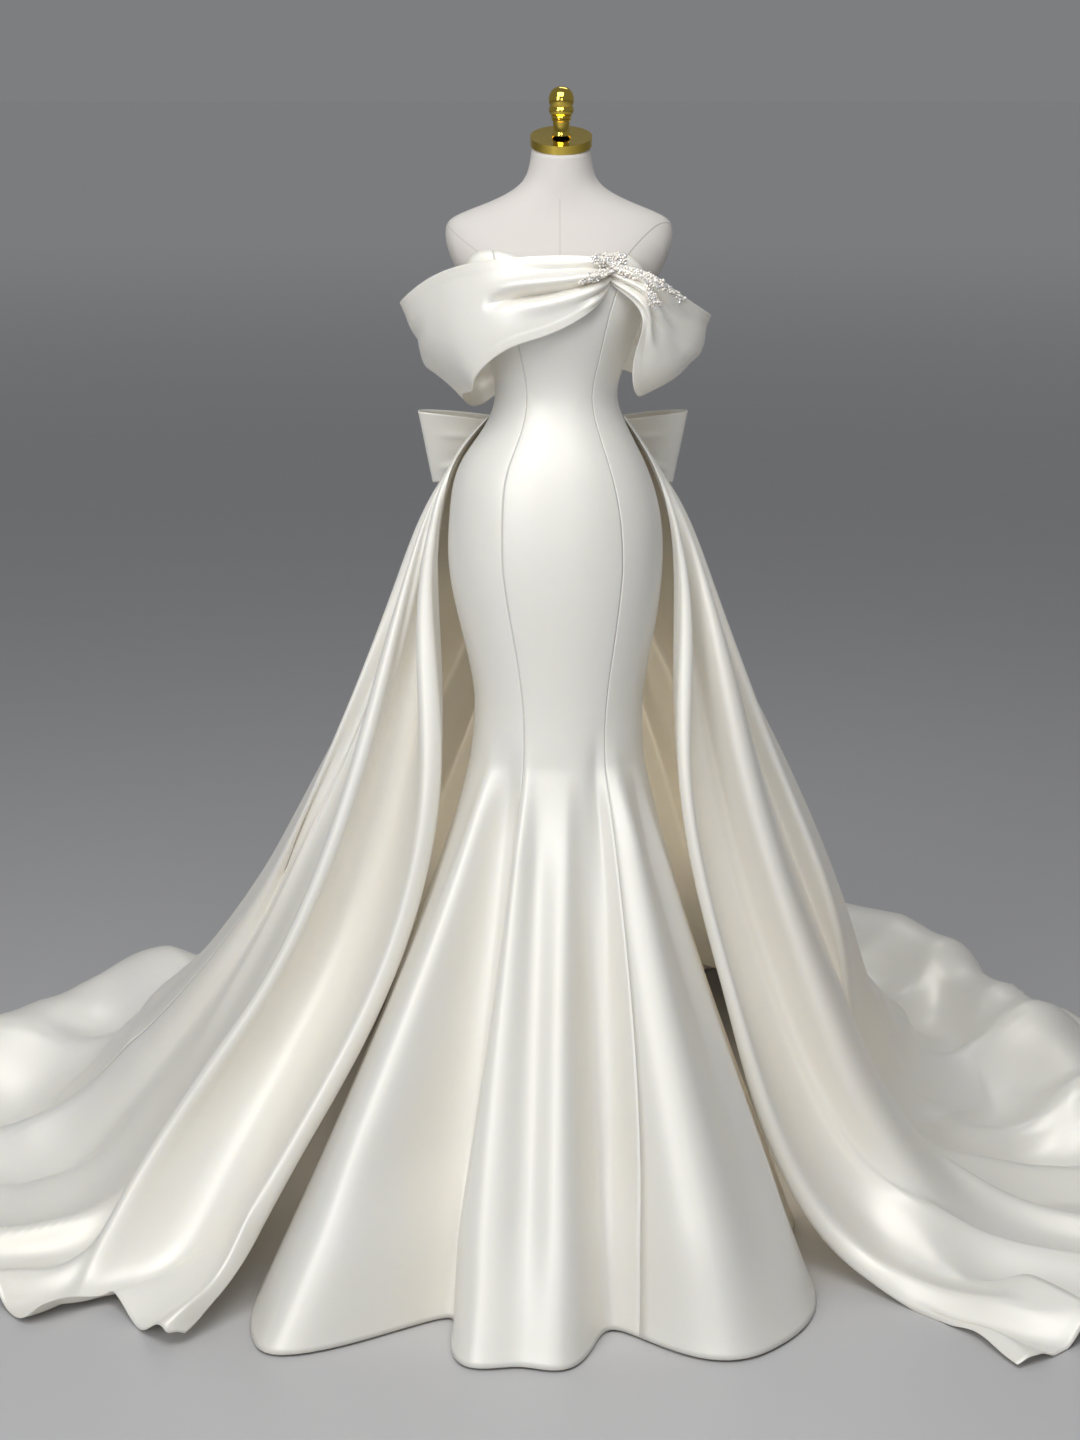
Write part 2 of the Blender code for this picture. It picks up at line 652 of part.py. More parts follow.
def overskirt(name, pleats, falls):
    """A side's front and back gore, which meet along one of the fold lines."""
    front = np.linspace(0, SPLIT_LINE, FRONT_COLUMNS)
    back = np.linspace(SPLIT_LINE, len(pleats) - 1, BACK_COLUMNS)
    inner, normal = overskirt_side(pleats, falls, np.concatenate([front, back[1:]]))
    for part, first, last in (("front", 0, FRONT_COLUMNS), ("back", FRONT_COLUMNS - 1, None)):
        own = open_seams(inner[:, first:last])
        wall(f"overskirt_{part}_{name}", own + normal[:, first:last] * TRAIN_CLOTH, own, SATIN)


def against_gown(point):
    """The point moved level with itself to lie just off the gown's surface."""
    degrees = math.degrees(math.atan2(point[0], -point[1]))
    for _ in range(6):
        held = outline_point(degrees, point[2], -SNUG)
        degrees += math.degrees(math.atan2(point[0], -point[1]) - math.atan2(held[0], -held[1]))
    return held


def drape(name, stations):
    """A band of cloth from the knot round the arm to the back, open above and below."""
    knots = np.arange(len(stations), dtype=float)
    top = np.array([[s.top_x, s.top_y, s.top_z] for s in stations])
    low = np.array([[s.low_x, s.low_y, s.low_z] for s in stations])
    for end in (0, -1):
        top[end] = against_gown(top[end])
        low[end] = against_gown(low[end])
    across = np.linspace(0, knots[-1], DRAPE_COLUMNS)
    upper = spline(knots, top, across)
    lower = spline(knots, low, across)
    bulge = spline(knots, column(stations, "bulge"), across)
    steps = np.linspace(0, 1, DRAPE_ROWS)
    grid = np.array([upper + (lower - upper) * step for step in steps])
    flat = grid * (1, 1, 0)
    out = flat / np.linalg.norm(flat, axis=2, keepdims=True)
    grid += out * (bulge[None, :] * np.sin(math.pi * steps)[:, None])[:, :, None]
    normal = facing_out(grid, normals_of(grid))
    wall(name, grid + normal * CLOTH, grid, SATIN)


def first_hit(names, start, way):
    """Where a line from start first meets any of the named objects."""
    best = None
    for name in names:
        hit = bpy.data.objects[name].ray_cast(start, way)
        if hit[0] and (best is None or (hit[1] - start).length < (best - start).length):
            best = hit[1]
    return best


def bow_seat():
    """How far back the knot's middle sits for its round front to lie just off the overskirt."""
    middles = []
    for x in np.linspace(-KNOT_WIDE / 2, KNOT_WIDE / 2, 6):
        for z in np.linspace(BOW_Z - KNOT_TALL / 2, BOW_Z + KNOT_TALL / 2, 7):
            hit = first_hit(BOW_LIES_ON, Vector((x, 1.0, z)), Vector((0, -1, 0)))
            share = (z - BOW_Z) / (KNOT_TALL / 2)
            deep = KNOT_DEEP / 2 * math.sqrt(max(0.0, 1 - share**2))
            middles.append(hit.y - BOW_LEAN * (BOW_Z - z) + deep)
    return max(middles) + SEAM_GAP


def bow_loop(name, side, middle):
    reach = BOW_REACH[name]
    knots = np.arange(len(BOW_LOOP), dtype=float)
    turns = np.array([[turn.out, turn.depth, turn.half_height] for turn in BOW_LOOP])
    track = spline(knots, turns, np.linspace(0, knots[-1], BOW_COLUMNS))
    longest = turns[:, 0].max()
    grid = np.zeros((BOW_ROWS, BOW_COLUMNS, 3))
    for r, step in enumerate(np.linspace(1, -1, BOW_ROWS)):
        share = (track[:, 0] - track[0, 0]) / (longest - track[0, 0])
        out = track[0, 0] + (track[:, 0] - track[0, 0]) * reach
        grid[r, :, 0] = side * (out - BOW_TAPER * (1 - step) / 2 * share * longest)
        grid[r, :, 1] = middle + track[:, 1] - BOW_LEAN * step * track[:, 2]
        grid[r, :, 2] = BOW_Z + step * track[:, 2]
    normal = normals_of(grid)
    if (normal * (grid - grid.mean(axis=(0, 1)))).sum() < 0:
        normal = -normal
    wall(name, grid + normal * CLOTH, grid, SATIN)


def bow_knot(middle):
    """The crossways band over the loops' gathered ends, full of the cloth it holds."""
    shell = bmesh.new()
    rings = []
    for band in KNOT_BANDS:
        ring = []
        for i in range(KNOT_SIDES):
            turn = 2 * math.pi * i / KNOT_SIDES
            up = KNOT_TALL / 2 * math.sin(turn) * band.swell
            deep = KNOT_DEEP / 2 * math.cos(turn) * band.swell
            point = (KNOT_WIDE * band.share, middle + deep - BOW_LEAN * up, BOW_Z + up)
            ring.append(shell.verts.new(point))
        rings.append(ring)
    close_rings(shell, rings)
    finish_solid("bow_knot", shell, SATIN)


def bead_motif():
    """The beaded motif over the gathers at the bust, laid on the two drapes where they meet."""
    across = MOTIF_X + MOTIF_WIDE * np.linspace(-0.5, 0.5, MOTIF_COLUMNS)
    up = MOTIF_Z + MOTIF_TALL * np.linspace(0.5, -0.5, MOTIF_ROWS)
    height = up[:, None] - MOTIF_SLOPE * (across - MOTIF_X)[None, :]
    depth = np.zeros_like(height)
    for r, c in np.ndindex(height.shape):
        start = Vector((across[c], -1.0, height[r, c]))
        depth[r, c] = first_hit(MOTIF_LIES_ON, start, Vector((0, 1, 0))).y
    grid = np.zeros((*height.shape, 3))
    for r, c in np.ndindex(height.shape):
        near = depth[max(r - 1, 0):r + 2, max(c - 1, 0):c + 2]
        grid[r, c] = (across[c], near.min() - MOTIF_GAP, height[r, c])
    normal = facing_out(grid, normals_of(grid))
    wall("bead_motif", grid + normal * CLOTH, grid, SATIN)


def main():
    clear_scene()
    stand()
    form_torso()
    neck_cap()
    for panel in PANELS:
        gown_panel(panel)
    overskirt("left", LEFT_PLEATS, LEFT_FALLS)
    overskirt("right", RIGHT_PLEATS, RIGHT_FALLS)
    drape("drape_front_left", DRAPE_LEFT)
    drape("drape_sleeve_right", DRAPE_RIGHT)
    bpy.context.view_layer.update()
    bead_motif()
    middle = bow_seat()
    bow_loop("bow_loop_left", -1, middle)
    bow_loop("bow_loop_right", 1, middle)
    bow_knot(middle)


main()
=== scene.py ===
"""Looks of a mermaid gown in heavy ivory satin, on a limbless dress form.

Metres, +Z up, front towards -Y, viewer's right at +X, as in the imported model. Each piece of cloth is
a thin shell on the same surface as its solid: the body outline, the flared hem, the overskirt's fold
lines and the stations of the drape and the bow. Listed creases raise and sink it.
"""

import math
import random
from collections import namedtuple

import bmesh
import bpy
import numpy as np
from bpy.props import FloatProperty, FloatVectorProperty, IntProperty, PointerProperty
from bpy.types import Operator, Panel, PropertyGroup
from mathutils import Matrix, Vector, noise
from mathutils.bvhtree import BVHTree


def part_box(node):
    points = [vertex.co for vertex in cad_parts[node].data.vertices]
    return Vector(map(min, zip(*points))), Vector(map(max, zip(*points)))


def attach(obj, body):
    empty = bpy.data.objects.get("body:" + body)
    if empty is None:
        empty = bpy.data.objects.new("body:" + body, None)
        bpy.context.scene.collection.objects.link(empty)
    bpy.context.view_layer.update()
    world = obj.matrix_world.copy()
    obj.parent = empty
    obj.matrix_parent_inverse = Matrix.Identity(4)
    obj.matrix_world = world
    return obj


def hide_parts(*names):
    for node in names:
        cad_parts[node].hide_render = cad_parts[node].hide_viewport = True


bl_info = {
    "name": "Mermaid gown on a dress form",
    "version": (1, 0, 0),
    "blender": (4, 5, 0),
    "location": "View3D > Sidebar > Gown",
    "description": "Dresses the gown's solids in satin, beads, linen and gold",
    "category": "Object",
}

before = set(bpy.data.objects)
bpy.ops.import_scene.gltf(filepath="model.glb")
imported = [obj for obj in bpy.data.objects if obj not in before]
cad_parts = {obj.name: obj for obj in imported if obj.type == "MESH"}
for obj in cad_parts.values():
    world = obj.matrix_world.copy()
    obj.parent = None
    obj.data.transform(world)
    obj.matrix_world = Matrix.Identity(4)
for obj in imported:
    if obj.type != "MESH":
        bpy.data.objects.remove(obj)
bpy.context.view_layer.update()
BODY = "root"


# Cloth and how its pieces lie, as in the solids.
CLOTH, TRAIN_CLOTH = 0.0016, 0.0015
SEAM_GAP = 0.0001
SNUG = 0.0007
PROBE, PROBE_DEGREES = 0.002, 0.5
FLOOR_LIFT = 0.0016
HEM_WIDTH = 0.016
PUCKER_LENGTH, PUCKER_REACH = 0.0035, 0.009
HELD_Z = 0.95
HELD_STATIONS = 2.0

# How finely each kind of piece is drawn.
BUST_Z = 1.440
BUST_ROWS = 24
SKIRT_ROWS = 180
PANEL_FINENESS = 5
FOLD_COLUMNS = 28
TRAIN_ROWS = 220
DRAPE_ROWS = 56
BOW_ROWS = 40
BOW_COLUMNS = 140

KNEE_Z = 0.82
HEM_Z = 0.004
FLARE_POWER = 1.15

# The gown's outer surface over the form, and the form itself above the neckline.
Ring = namedtuple("Ring", "z left right front back round")
OUTLINE = [
    Ring(0.820, 0.138, 0.128, 0.112, 0.122, 2.1),
    Ring(0.900, 0.131, 0.126, 0.110, 0.125, 2.1),
    Ring(1.000, 0.147, 0.141, 0.116, 0.138, 2.1),
    Ring(1.120, 0.169, 0.155, 0.124, 0.148, 2.15),
    Ring(1.200, 0.166, 0.149, 0.122, 0.142, 2.2),
    Ring(1.270, 0.149, 0.126, 0.112, 0.120, 2.2),
    Ring(1.320, 0.116, 0.101, 0.099, 0.098, 2.15),
    Ring(1.374, 0.098, 0.084, 0.091, 0.085, 2.1),
    Ring(1.430, 0.110, 0.100, 0.106, 0.086, 2.15),
    Ring(1.490, 0.128, 0.122, 0.127, 0.090, 2.25),
    Ring(1.530, 0.146, 0.142, 0.120, 0.092, 2.3),
    Ring(1.565, 0.166, 0.160, 0.108, 0.092, 2.35),
    Ring(1.595, 0.177, 0.172, 0.092, 0.088, 2.35),
    Ring(1.618, 0.178, 0.172, 0.076, 0.080, 2.3),
    Ring(1.632, 0.171, 0.166, 0.066, 0.073, 2.25),
    Ring(1.646, 0.136, 0.133, 0.060, 0.066, 2.2),
    Ring(1.660, 0.098, 0.096, 0.056, 0.060, 2.1),
    Ring(1.679, 0.065, 0.063, 0.053, 0.056, 2.05),
    Ring(1.700, 0.053, 0.052, 0.051, 0.052, 2.0),
    Ring(1.722, 0.048, 0.048, 0.049, 0.050, 2.0),
]
NECK_LEAN, LEAN_FROM, LEAN_OVER = 0.010, 1.62, 0.10

# The neckline's height round the body, in degrees from the front towards the viewer's right.
Edge = namedtuple("Edge", "degrees z")
NECKLINE = [
    Edge(-180, 1.496),
    Edge(-130, 1.496),
    Edge(-90, 1.500),
    Edge(-64, 1.545),
    Edge(-36, 1.590),
    Edge(-4, 1.576),
    Edge(28, 1.586),
    Edge(58, 1.540),
    Edge(90, 1.500),
    Edge(130, 1.496),
    Edge(180, 1.496),
]

# The hem on the floor, a row for each fold: its bearing and how far out it stands.
Fold = namedtuple("Fold", "degrees reach")
HEM = [
    Fold(-180, 0.400),
    Fold(-158, 0.345),
    Fold(-134, 0.420),
    Fold(-108, 0.375),
    Fold(-82, 0.452),
    Fold(-66, 0.512),
    Fold(-52, 0.578),
    Fold(-45, 0.560),
    Fold(-38, 0.400),
    Fold(-30, 0.322),
    Fold(-24, 0.400),
    Fold(-18, 0.455),
    Fold(-8, 0.440),
    Fold(3, 0.430),
    Fold(10, 0.340),
    Fold(16, 0.330),
    Fold(26, 0.448),
    Fold(40, 0.490),
    Fold(54, 0.468),
    Fold(72, 0.410),
    Fold(90, 0.372),
    Fold(112, 0.405),
    Fold(136, 0.352),
    Fold(160, 0.415),
    Fold(180, 0.400),
]

# Each seam runs from the neckline to the hem through these bearings at these heights.
SEAM_HEIGHTS = [1.50, 1.12, 0.85, HEM_Z]
Seam = namedtuple("Seam", "neck hip knee hem")
SEAMS = {
    "back_left": Seam(-150, -148, -148, -146),
    "side_left": Seam(-92, -92, -92, -92),
    "princess_left": Seam(-31, -29, -23, -24),
    "princess_right": Seam(31, 35, 31, 19),
    "side_right": Seam(92, 92, 92, 92),
    "back_right": Seam(150, 148, 148, 146),
}

# The overskirt's fold lines from the front edge to the centre back. Down to the hip a line lies
# against the gown, at a bearing and a stand-off. Below that it falls free, with its own x and y at
# each height, touches the floor and runs out over it to the hem.
WAIST_Z, SEAT_Z, HIP_Z, THIGH_Z, CALF_Z, ANKLE_Z, TOUCH_Z = 1.335, 1.225, 1.080, 0.800, 0.450, 0.140, 0.022
SWELL, SWELL_SHARE = 0.004, 0.4
Pleat = namedtuple("Pleat", "waist_deg waist_out seat_deg seat_out hip_deg hip_out")
Fall = namedtuple("Fall", "thigh_x thigh_y calf_x calf_y ankle_x ankle_y touch_x touch_y end_x end_y")
LEFT_PLEATS = [
    Pleat(-97, .0008, -91, .012, -92, .024),
    Pleat(-104, .004, -93, .016, -88, .048),
    Pleat(-110, .0008, -104, .012, -100, .040),
    Pleat(-116, .005, -105, .028, -97, .072),
    Pleat(-124, .0008, -116, .022, -110, .066),
    Pleat(-132, .005, -118, .044, -112, .104),
    Pleat(-146, .0008, -140, .030, -138, .075),
    Pleat(-158, .005, -155, .034, -155, .088),
    Pleat(-169, .0008, -168, .022, -168, .072),
    Pleat(180, .004, 180, .026, 180, .080),
]
LEFT_FALLS = [
    Fall(-.190, -.030, -.285, -.070, -.455, -.170, -.520, -.220, -.560, -.312),
    Fall(-.216, -.063, -.308, -.120, -.480, -.218, -.552, -.288, -.604, -.355),
    Fall(-.268, .034, -.384, .004, -.548, -.096, -.620, -.170, -.690, -.243),
    Fall(-.312, -.016, -.462, -.055, -.660, -.090, -.720, -.140, -.780, -.310),
    Fall(-.325, .090, -.480, .100, -.670, .100, -.780, .060, -.930, -.100),
    Fall(-.362, .090, -.548, .210, -.800, .330, -.930, .360, -1.130, .320),
    Fall(-.300, .260, -.500, .420, -.740, .620, -.880, .720, -1.120, .850),
    Fall(-.200, .400, -.360, .620, -.550, .900, -.660, 1.02, -.850, 1.28),
    Fall(-.100, .380, -.190, .660, -.280, 1.00, -.350, 1.15, -.450, 1.42),
    Fall(.00, .42, .00, .74, .00, 1.10, .00, 1.25, .00, 1.50),
]
RIGHT_PLEATS = [
    Pleat(97, .0008, 91, .012, 91, .022),
    Pleat(102, .004, 93, .016, 88, .042),
    Pleat(108, .0008, 101, .012, 98, .036),
    Pleat(114, .005, 103, .028, 95, .068),
    Pleat(122, .0008, 112, .022, 106, .062),
    Pleat(130, .005, 116, .040, 108, .090),
    Pleat(146, .0008, 140, .030, 138, .075),
    Pleat(158, .005, 155, .034, 155, .088),
    Pleat(169, .0008, 168, .022, 168, .072),
    Pleat(180, .004, 180, .026, 180, .080),
]
RIGHT_FALLS = [
    Fall(.184, -.030, .260, -.060, .365, -.090, .450, -.130, .664, -.438),
    Fall(.201, -.054, .278, -.100, .400, -.124, .498, -.172, .710, -.412),
    Fall(.234, .034, .328, .004, .476, -.048, .590, -.118, .800, -.330),
    Fall(.284, -.014, .400, -.028, .556, -.018, .686, -.036, .950, -.220),
    Fall(.300, .080, .430, .100, .580, .100, .720, .100, 1.04, -.020),
    Fall(.338, .070, .464, .120, .535, .210, .680, .250, 1.04, .180),
    Fall(.300, .240, .460, .380, .640, .560, .760, .660, 1.10, .850),
    Fall(.200, .400, .340, .620, .520, .880, .640, 1.00, .840, 1.26),
    Fall(.100, .380, .180, .660, .280, 1.00, .350, 1.15, .450, 1.42),
    Fall(.00, .42, .00, .74, .00, 1.10, .00, 1.25, .00, 1.50),
]
SPLIT_LINE = 5

# Cloth heaped on the floor behind the gown: where, how long and wide, which way, how high.
Heap = namedtuple("Heap", "x y length width turn_deg height")
HEAPS = [
    Heap(-0.92, 0.66, 0.30, 0.12, 35, 0.165),
    Heap(-0.70, 0.70, 0.10, 0.09, 0, 0.160),
    Heap(-0.70, 0.98, 0.28, 0.09, 60, 0.125),
    Heap(-0.25, 1.22, 0.30, 0.09, 15, 0.070),
    Heap(0.28, 1.24, 0.30, 0.09, -20, 0.080),
    Heap(0.60, 1.02, 0.30, 0.12, -38, 0.222),
    Heap(0.86, 0.66, 0.26, 0.10, -60, 0.160),
    Heap(0.98, 0.36, 0.20, 0.07, -30, 0.060),
]
HEAP_FADE = 0.35

# The drape's stations, from the knot at the bust round the arm to the back: upper and lower edge.
Station = namedtuple("Station", "top_x top_y top_z low_x low_y low_z bulge")
DRAPE_LEFT = [
    Station(.085, -.134, 1.572, .085, -.138, 1.540, .001),
    Station(.045, -.139, 1.584, .042, -.146, 1.508, .004),
    Station(-.015, -.138, 1.586, -.018, -.148, 1.474, .006),
    Station(-.075, -.132, 1.582, -.078, -.140, 1.452, .008),
    Station(-.135, -.106, 1.572, -.122, -.110, 1.412, .012),
    Station(-.196, -.056, 1.546, -.130, -.070, 1.386, .020),
    Station(-.238, .004, 1.508, -.146, .010, 1.372, .022),
    Station(-.208, .078, 1.512, -.138, .068, 1.350, .018),
    Station(-.135, .116, 1.520, -.110, .106, 1.350, .010),
    Station(-.050, .094, 1.492, -.052, .090, 1.410, .001),
]
DRAPE_RIGHT = [
    Station(.091, -.133, 1.574, .092, -.137, 1.542, .001),
    Station(.126, -.122, 1.560, .116, -.124, 1.500, .004),
    Station(.172, -.082, 1.528, .106, -.104, 1.438, .012),
    Station(.220, -.008, 1.492, .110, -.052, 1.380, .040),
    Station(.205, .070, 1.492, .128, .050, 1.374, .022),
    Station(.135, .112, 1.508, .110, .102, 1.392, .010),
    Station(.050, .094, 1.492, .052, .090, 1.410, .001),
]

# The bow at the back waist. A loop goes out on the far layer and comes back on the near one.
BOW_Z = 1.272
BOW_LEAN = 0.30
Turn = namedtuple("Turn", "out depth half_height")
BOW_LOOP = [
    Turn(.0178, .014, .030),
    Turn(.080, .036, .042),
    Turn(.150, .038, .052),
    Turn(.194, .018, .057),
    Turn(.200, .000, .058),
    Turn(.194, -.012, .057),
    Turn(.150, -.018, .052),
    Turn(.080, -.014, .042),
    Turn(.0178, -.006, .030),
]
BOW_REACH = {"bow_loop_left": 1.10, "bow_loop_right": 0.98}

# Fine shape on the surfaces. A crease follows a piece's run coordinate from start to end. Its place
# across goes from start_at to end_at with a bow, and a height below zero is a trough.
Crease = namedtuple("Crease", "start end start_at end_at bow width height")
CREASE_EASE = 0.22
CREASE_POWER = 1.7

# On the skirt the run is the depth below the hip, in metres, and the place is a bearing in degrees.
SKIRT_TOP_Z = 1.10
SKIRT_CREASES = [
    Crease(0.22, 1.10, -20, -25, 2, 4.5, 0.014),
    Crease(0.22, 1.00, -33, -38, 0, 8.0, -0.016),
    Crease(0.22, 0.95, -50, -53, 3, 6.0, 0.008),
    Crease(0.30, 1.05, -12, -8, 0, 5.0, -0.006),
    Crease(0.28, 1.10, 5, 2, -3, 5.0, 0.007),
    Crease(0.21, 1.12, 39, 32, -1, 8.5, 0.022),
    Crease(0.20, 1.00, 25, 14, 0, 5.5, -0.013),
    Crease(0.26, 1.05, 57, 50, 0, 7.0, -0.011),
    Crease(0.30, 1.05, 66, 60, 3, 5.0, 0.006),
    Crease(0.30, 1.00, 112, 116, 2, 6.0, 0.008),
    Crease(0.26, 0.95, 136, 133, -3, 6.0, -0.008),
    Crease(0.28, 1.05, 158, 161, 0, 5.0, 0.009),
    Crease(0.26, 0.90, -114, -110, -2, 6.0, -0.008),
    Crease(0.30, 1.05, -132, -136, 3, 5.0, 0.008),
    Crease(0.28, 1.00, -160, -157, 0, 6.0, 0.007),
]

# On the overskirt the run goes from 0 at the waist to 1 at the hem, and the place is a fold number.
LEFT_CREASES = [
    Crease(0.02, 1.12, 0.48, 0.44, 0.00, 0.34, 0.017),
    Crease(0.08, 1.12, 1.72, 1.70, 0.05, 0.50, -0.024),
    Crease(0.05, 1.10, 2.92, 2.96, 0.00, 0.20, 0.013),
    Crease(0.10, 1.02, 3.42, 3.55, 0.05, 0.16, -0.018),
    Crease(0.00, 0.36, 1.45, 1.60, 0.00, 0.12, 0.004),
    Crease(0.00, 0.40, 2.45, 2.55, 0.00, 0.12, 0.004),
    Crease(0.06, 0.75, 3.95, 4.20, 0.10, 0.14, 0.010),
    Crease(0.30, 1.02, 4.55, 4.40, 0.10, 0.14, -0.016),
    Crease(0.10, 0.80, 5.40, 5.65, 0.00, 0.16, 0.014),
    Crease(0.20, 0.90, 6.30, 6.20, 0.10, 0.18, -0.014),
    Crease(0.15, 0.85, 6.90, 7.10, 0.10, 0.16, 0.016),
    Crease(0.20, 0.95, 7.60, 7.55, 0.00, 0.18, -0.016),
    Crease(0.15, 0.90, 8.40, 8.50, 0.05, 0.16, 0.014),
]
RIGHT_CREASES = [
    Crease(0.02, 1.12, 0.46, 0.42, 0.00, 0.34, 0.011),
    Crease(0.08, 1.12, 1.66, 1.62, 0.05, 0.44, -0.020),
    Crease(0.20, 0.85, 2.00, 2.15, 0.00, 0.08, 0.004),
    Crease(0.05, 1.12, 3.30, 3.20, 0.00, 0.75, 0.014),
    Crease(0.00, 0.36, 1.45, 1.60, 0.00, 0.12, 0.004),
    Crease(0.45, 1.05, 4.50, 4.60, 0.05, 0.16, -0.006),
    Crease(0.10, 0.85, 5.50, 5.60, 0.00, 0.16, 0.014),
    Crease(0.20, 0.90, 6.20, 6.35, 0.10, 0.18, -0.014),
    Crease(0.15, 0.80, 6.85, 6.95, 0.10, 0.16, 0.015),
    Crease(0.20, 0.95, 7.55, 7.65, 0.00, 0.18, -0.016),
    Crease(0.15, 0.90, 8.45, 8.40, 0.05, 0.16, 0.014),
]

# Folds of the cloth that lies on the floor: from and to in metres, width, height, and how far the
# fold leans over to its left as seen along it.
FloorFold = namedtuple("FloorFold", "x y to_x to_y width height lean")
FLOOR_FOLDS = [
    FloorFold(-0.42, -0.16, -0.64, -0.38, 0.030, 0.030, 0.010),
    FloorFold(-0.50, -0.14, -0.80, -0.34, 0.040, 0.040, -0.020),
    FloorFold(-0.60, -0.06, -0.98, -0.22, 0.045, 0.045, 0.020),
    FloorFold(-0.68, 0.04, -1.10, -0.06, 0.040, 0.050, 0.020),
    FloorFold(-0.72, 0.16, -1.14, 0.16, 0.050, 0.040, -0.020),
    FloorFold(-0.78, 0.30, -1.15, 0.38, 0.045, 0.055, 0.030),
    FloorFold(-0.66, 0.50, -1.15, 0.62, 0.045, 0.060, 0.030),
    FloorFold(-0.62, 0.72, -1.05, 0.92, 0.050, 0.050, -0.030),
    FloorFold(-0.50, 0.88, -0.90, 1.15, 0.045, 0.060, 0.030),
    FloorFold(-0.35, 0.95, -0.62, 1.35, 0.050, 0.055, 0.020),
    FloorFold(-0.15, 1.00, -0.30, 1.45, 0.045, 0.050, -0.020),
    FloorFold(0.05, 1.02, 0.02, 1.48, 0.045, 0.045, 0.020),
    FloorFold(0.22, 0.98, 0.40, 1.42, 0.050, 0.055, -0.020),
    FloorFold(0.42, 0.86, 0.70, 1.30, 0.045, 0.060, 0.030),
    FloorFold(0.55, 0.74, 0.95, 1.05, 0.045, 0.060, -0.030),
    FloorFold(0.62, 0.52, 1.05, 0.72, 0.045, 0.060, 0.030),
    FloorFold(0.60, 0.34, 1.06, 0.46, 0.040, 0.055, -0.020),
    FloorFold(0.56, 0.22, 1.04, 0.20, 0.045, 0.050, 0.030),
    FloorFold(0.52, 0.10, 1.02, 0.02, 0.040, 0.045, -0.020),
    FloorFold(0.46, -0.04, 0.94, -0.20, 0.040, 0.050, 0.020),
    FloorFold(0.42, -0.12, 0.80, -0.36, 0.035, 0.035, -0.010),
    FloorFold(0.40, -0.16, 0.70, -0.42, 0.030, 0.025, 0.010),
    FloorFold(0.50, -0.05, 0.73, -0.30, 0.050, 0.045, 0.000),
    FloorFold(0.66, -0.20, 0.80, -0.36, 0.016, 0.034, 0.022),
    FloorFold(-0.46, -0.20, -0.60, -0.36, 0.018, 0.026, 0.016),
]
FLOOR_FOLD_FADE = 0.30

# On the drape the run is a station number from the knot, and the place goes from 0 at the upper edge
# to 1 at the lower one.
DRAPE_LEFT_CREASES = [
    Crease(-1.2, 3.45, 0.50, 0.44, 0.00, 0.050, -0.013),
    Crease(1.60, 3.60, 0.46, 0.43, 0.00, 0.065, -0.010),
    Crease(-1.4, 3.70, 0.37, 0.29, 0.02, 0.080, 0.011),
    Crease(-1.4, 3.00, 0.62, 0.58, 0.02, 0.090, 0.006),
    Crease(-1.2, 2.60, 0.24, 0.17, 0.00, 0.040, -0.004),
    Crease(-1.2, 1.60, 0.10, 0.10, 0.00, 0.050, 0.004),
    Crease(-1.2, 1.50, 0.74, 0.72, 0.00, 0.040, -0.004),
    Crease(-1.0, 1.40, 0.88, 0.86, 0.00, 0.050, 0.003),
    Crease(5.20, 8.60, 0.30, 0.60, 0.05, 0.110, -0.006),
    Crease(5.60, 9.60, 0.72, 0.45, -0.05, 0.100, 0.006),
    Crease(6.60, 10.2, 0.25, 0.50, 0.05, 0.070, 0.006),
    Crease(7.20, 10.2, 0.80, 0.70, 0.05, 0.060, 0.005),
]
DRAPE_RIGHT_CREASES = [
    Crease(-1.0, 2.60, 0.20, 0.16, 0.00, 0.060, 0.005),
    Crease(-1.0, 2.30, 0.36, 0.30, 0.00, 0.045, -0.005),
    Crease(-1.0, 2.40, 0.52, 0.44, 0.00, 0.050, 0.006),
    Crease(-1.0, 2.20, 0.68, 0.58, 0.00, 0.045, -0.006),
    Crease(-1.0, 2.50, 0.82, 0.74, 0.00, 0.055, 0.006),
    Crease(2.00, 4.80, 0.50, 0.66, 0.05, 0.120, -0.005),
    Crease(3.40, 7.00, 0.70, 0.50, 0.05, 0.080, 0.006),
    Crease(4.20, 7.00, 0.25, 0.35, 0.05, 0.070, 0.005),
]
# On the bow the run is a turn number along the loop, and the place goes from 0 above to 1 below.
BOW_CREASES = [
    Crease(-1.0, 2.80, 0.30, 0.22, 0.00, 0.060, 0.004),
    Crease(-1.0, 2.40, 0.48, 0.52, 0.00, 0.050, -0.004),
    Crease(-1.0, 3.00, 0.70, 0.80, 0.00, 0.060, 0.004),
    Crease(5.20, 9.00, 0.30, 0.28, 0.02, 0.060, 0.003),
    Crease(5.60, 9.00, 0.62, 0.52, 0.02, 0.050, -0.004),
    Crease(5.00, 9.00, 0.80, 0.66, 0.00, 0.050, 0.004),
]

# The beads. A patch holds pearls and crystals round a middle, or along a line when its ends differ.
Patch = namedtuple("Patch", "x z to_x to_z spread beads")
PATCHES = [
    Patch(0.080, 1.573, 0.106, 1.566, 0.009, 150),
    Patch(0.046, 1.581, 0.084, 1.575, 0.005, 60),
    Patch(0.030, 1.552, 0.074, 1.567, 0.005, 55),
    Patch(0.106, 1.564, 0.150, 1.541, 0.006, 90),
    Patch(0.150, 1.541, 0.178, 1.520, 0.004, 46),
    Patch(0.124, 1.546, 0.138, 1.512, 0.005, 50),
]

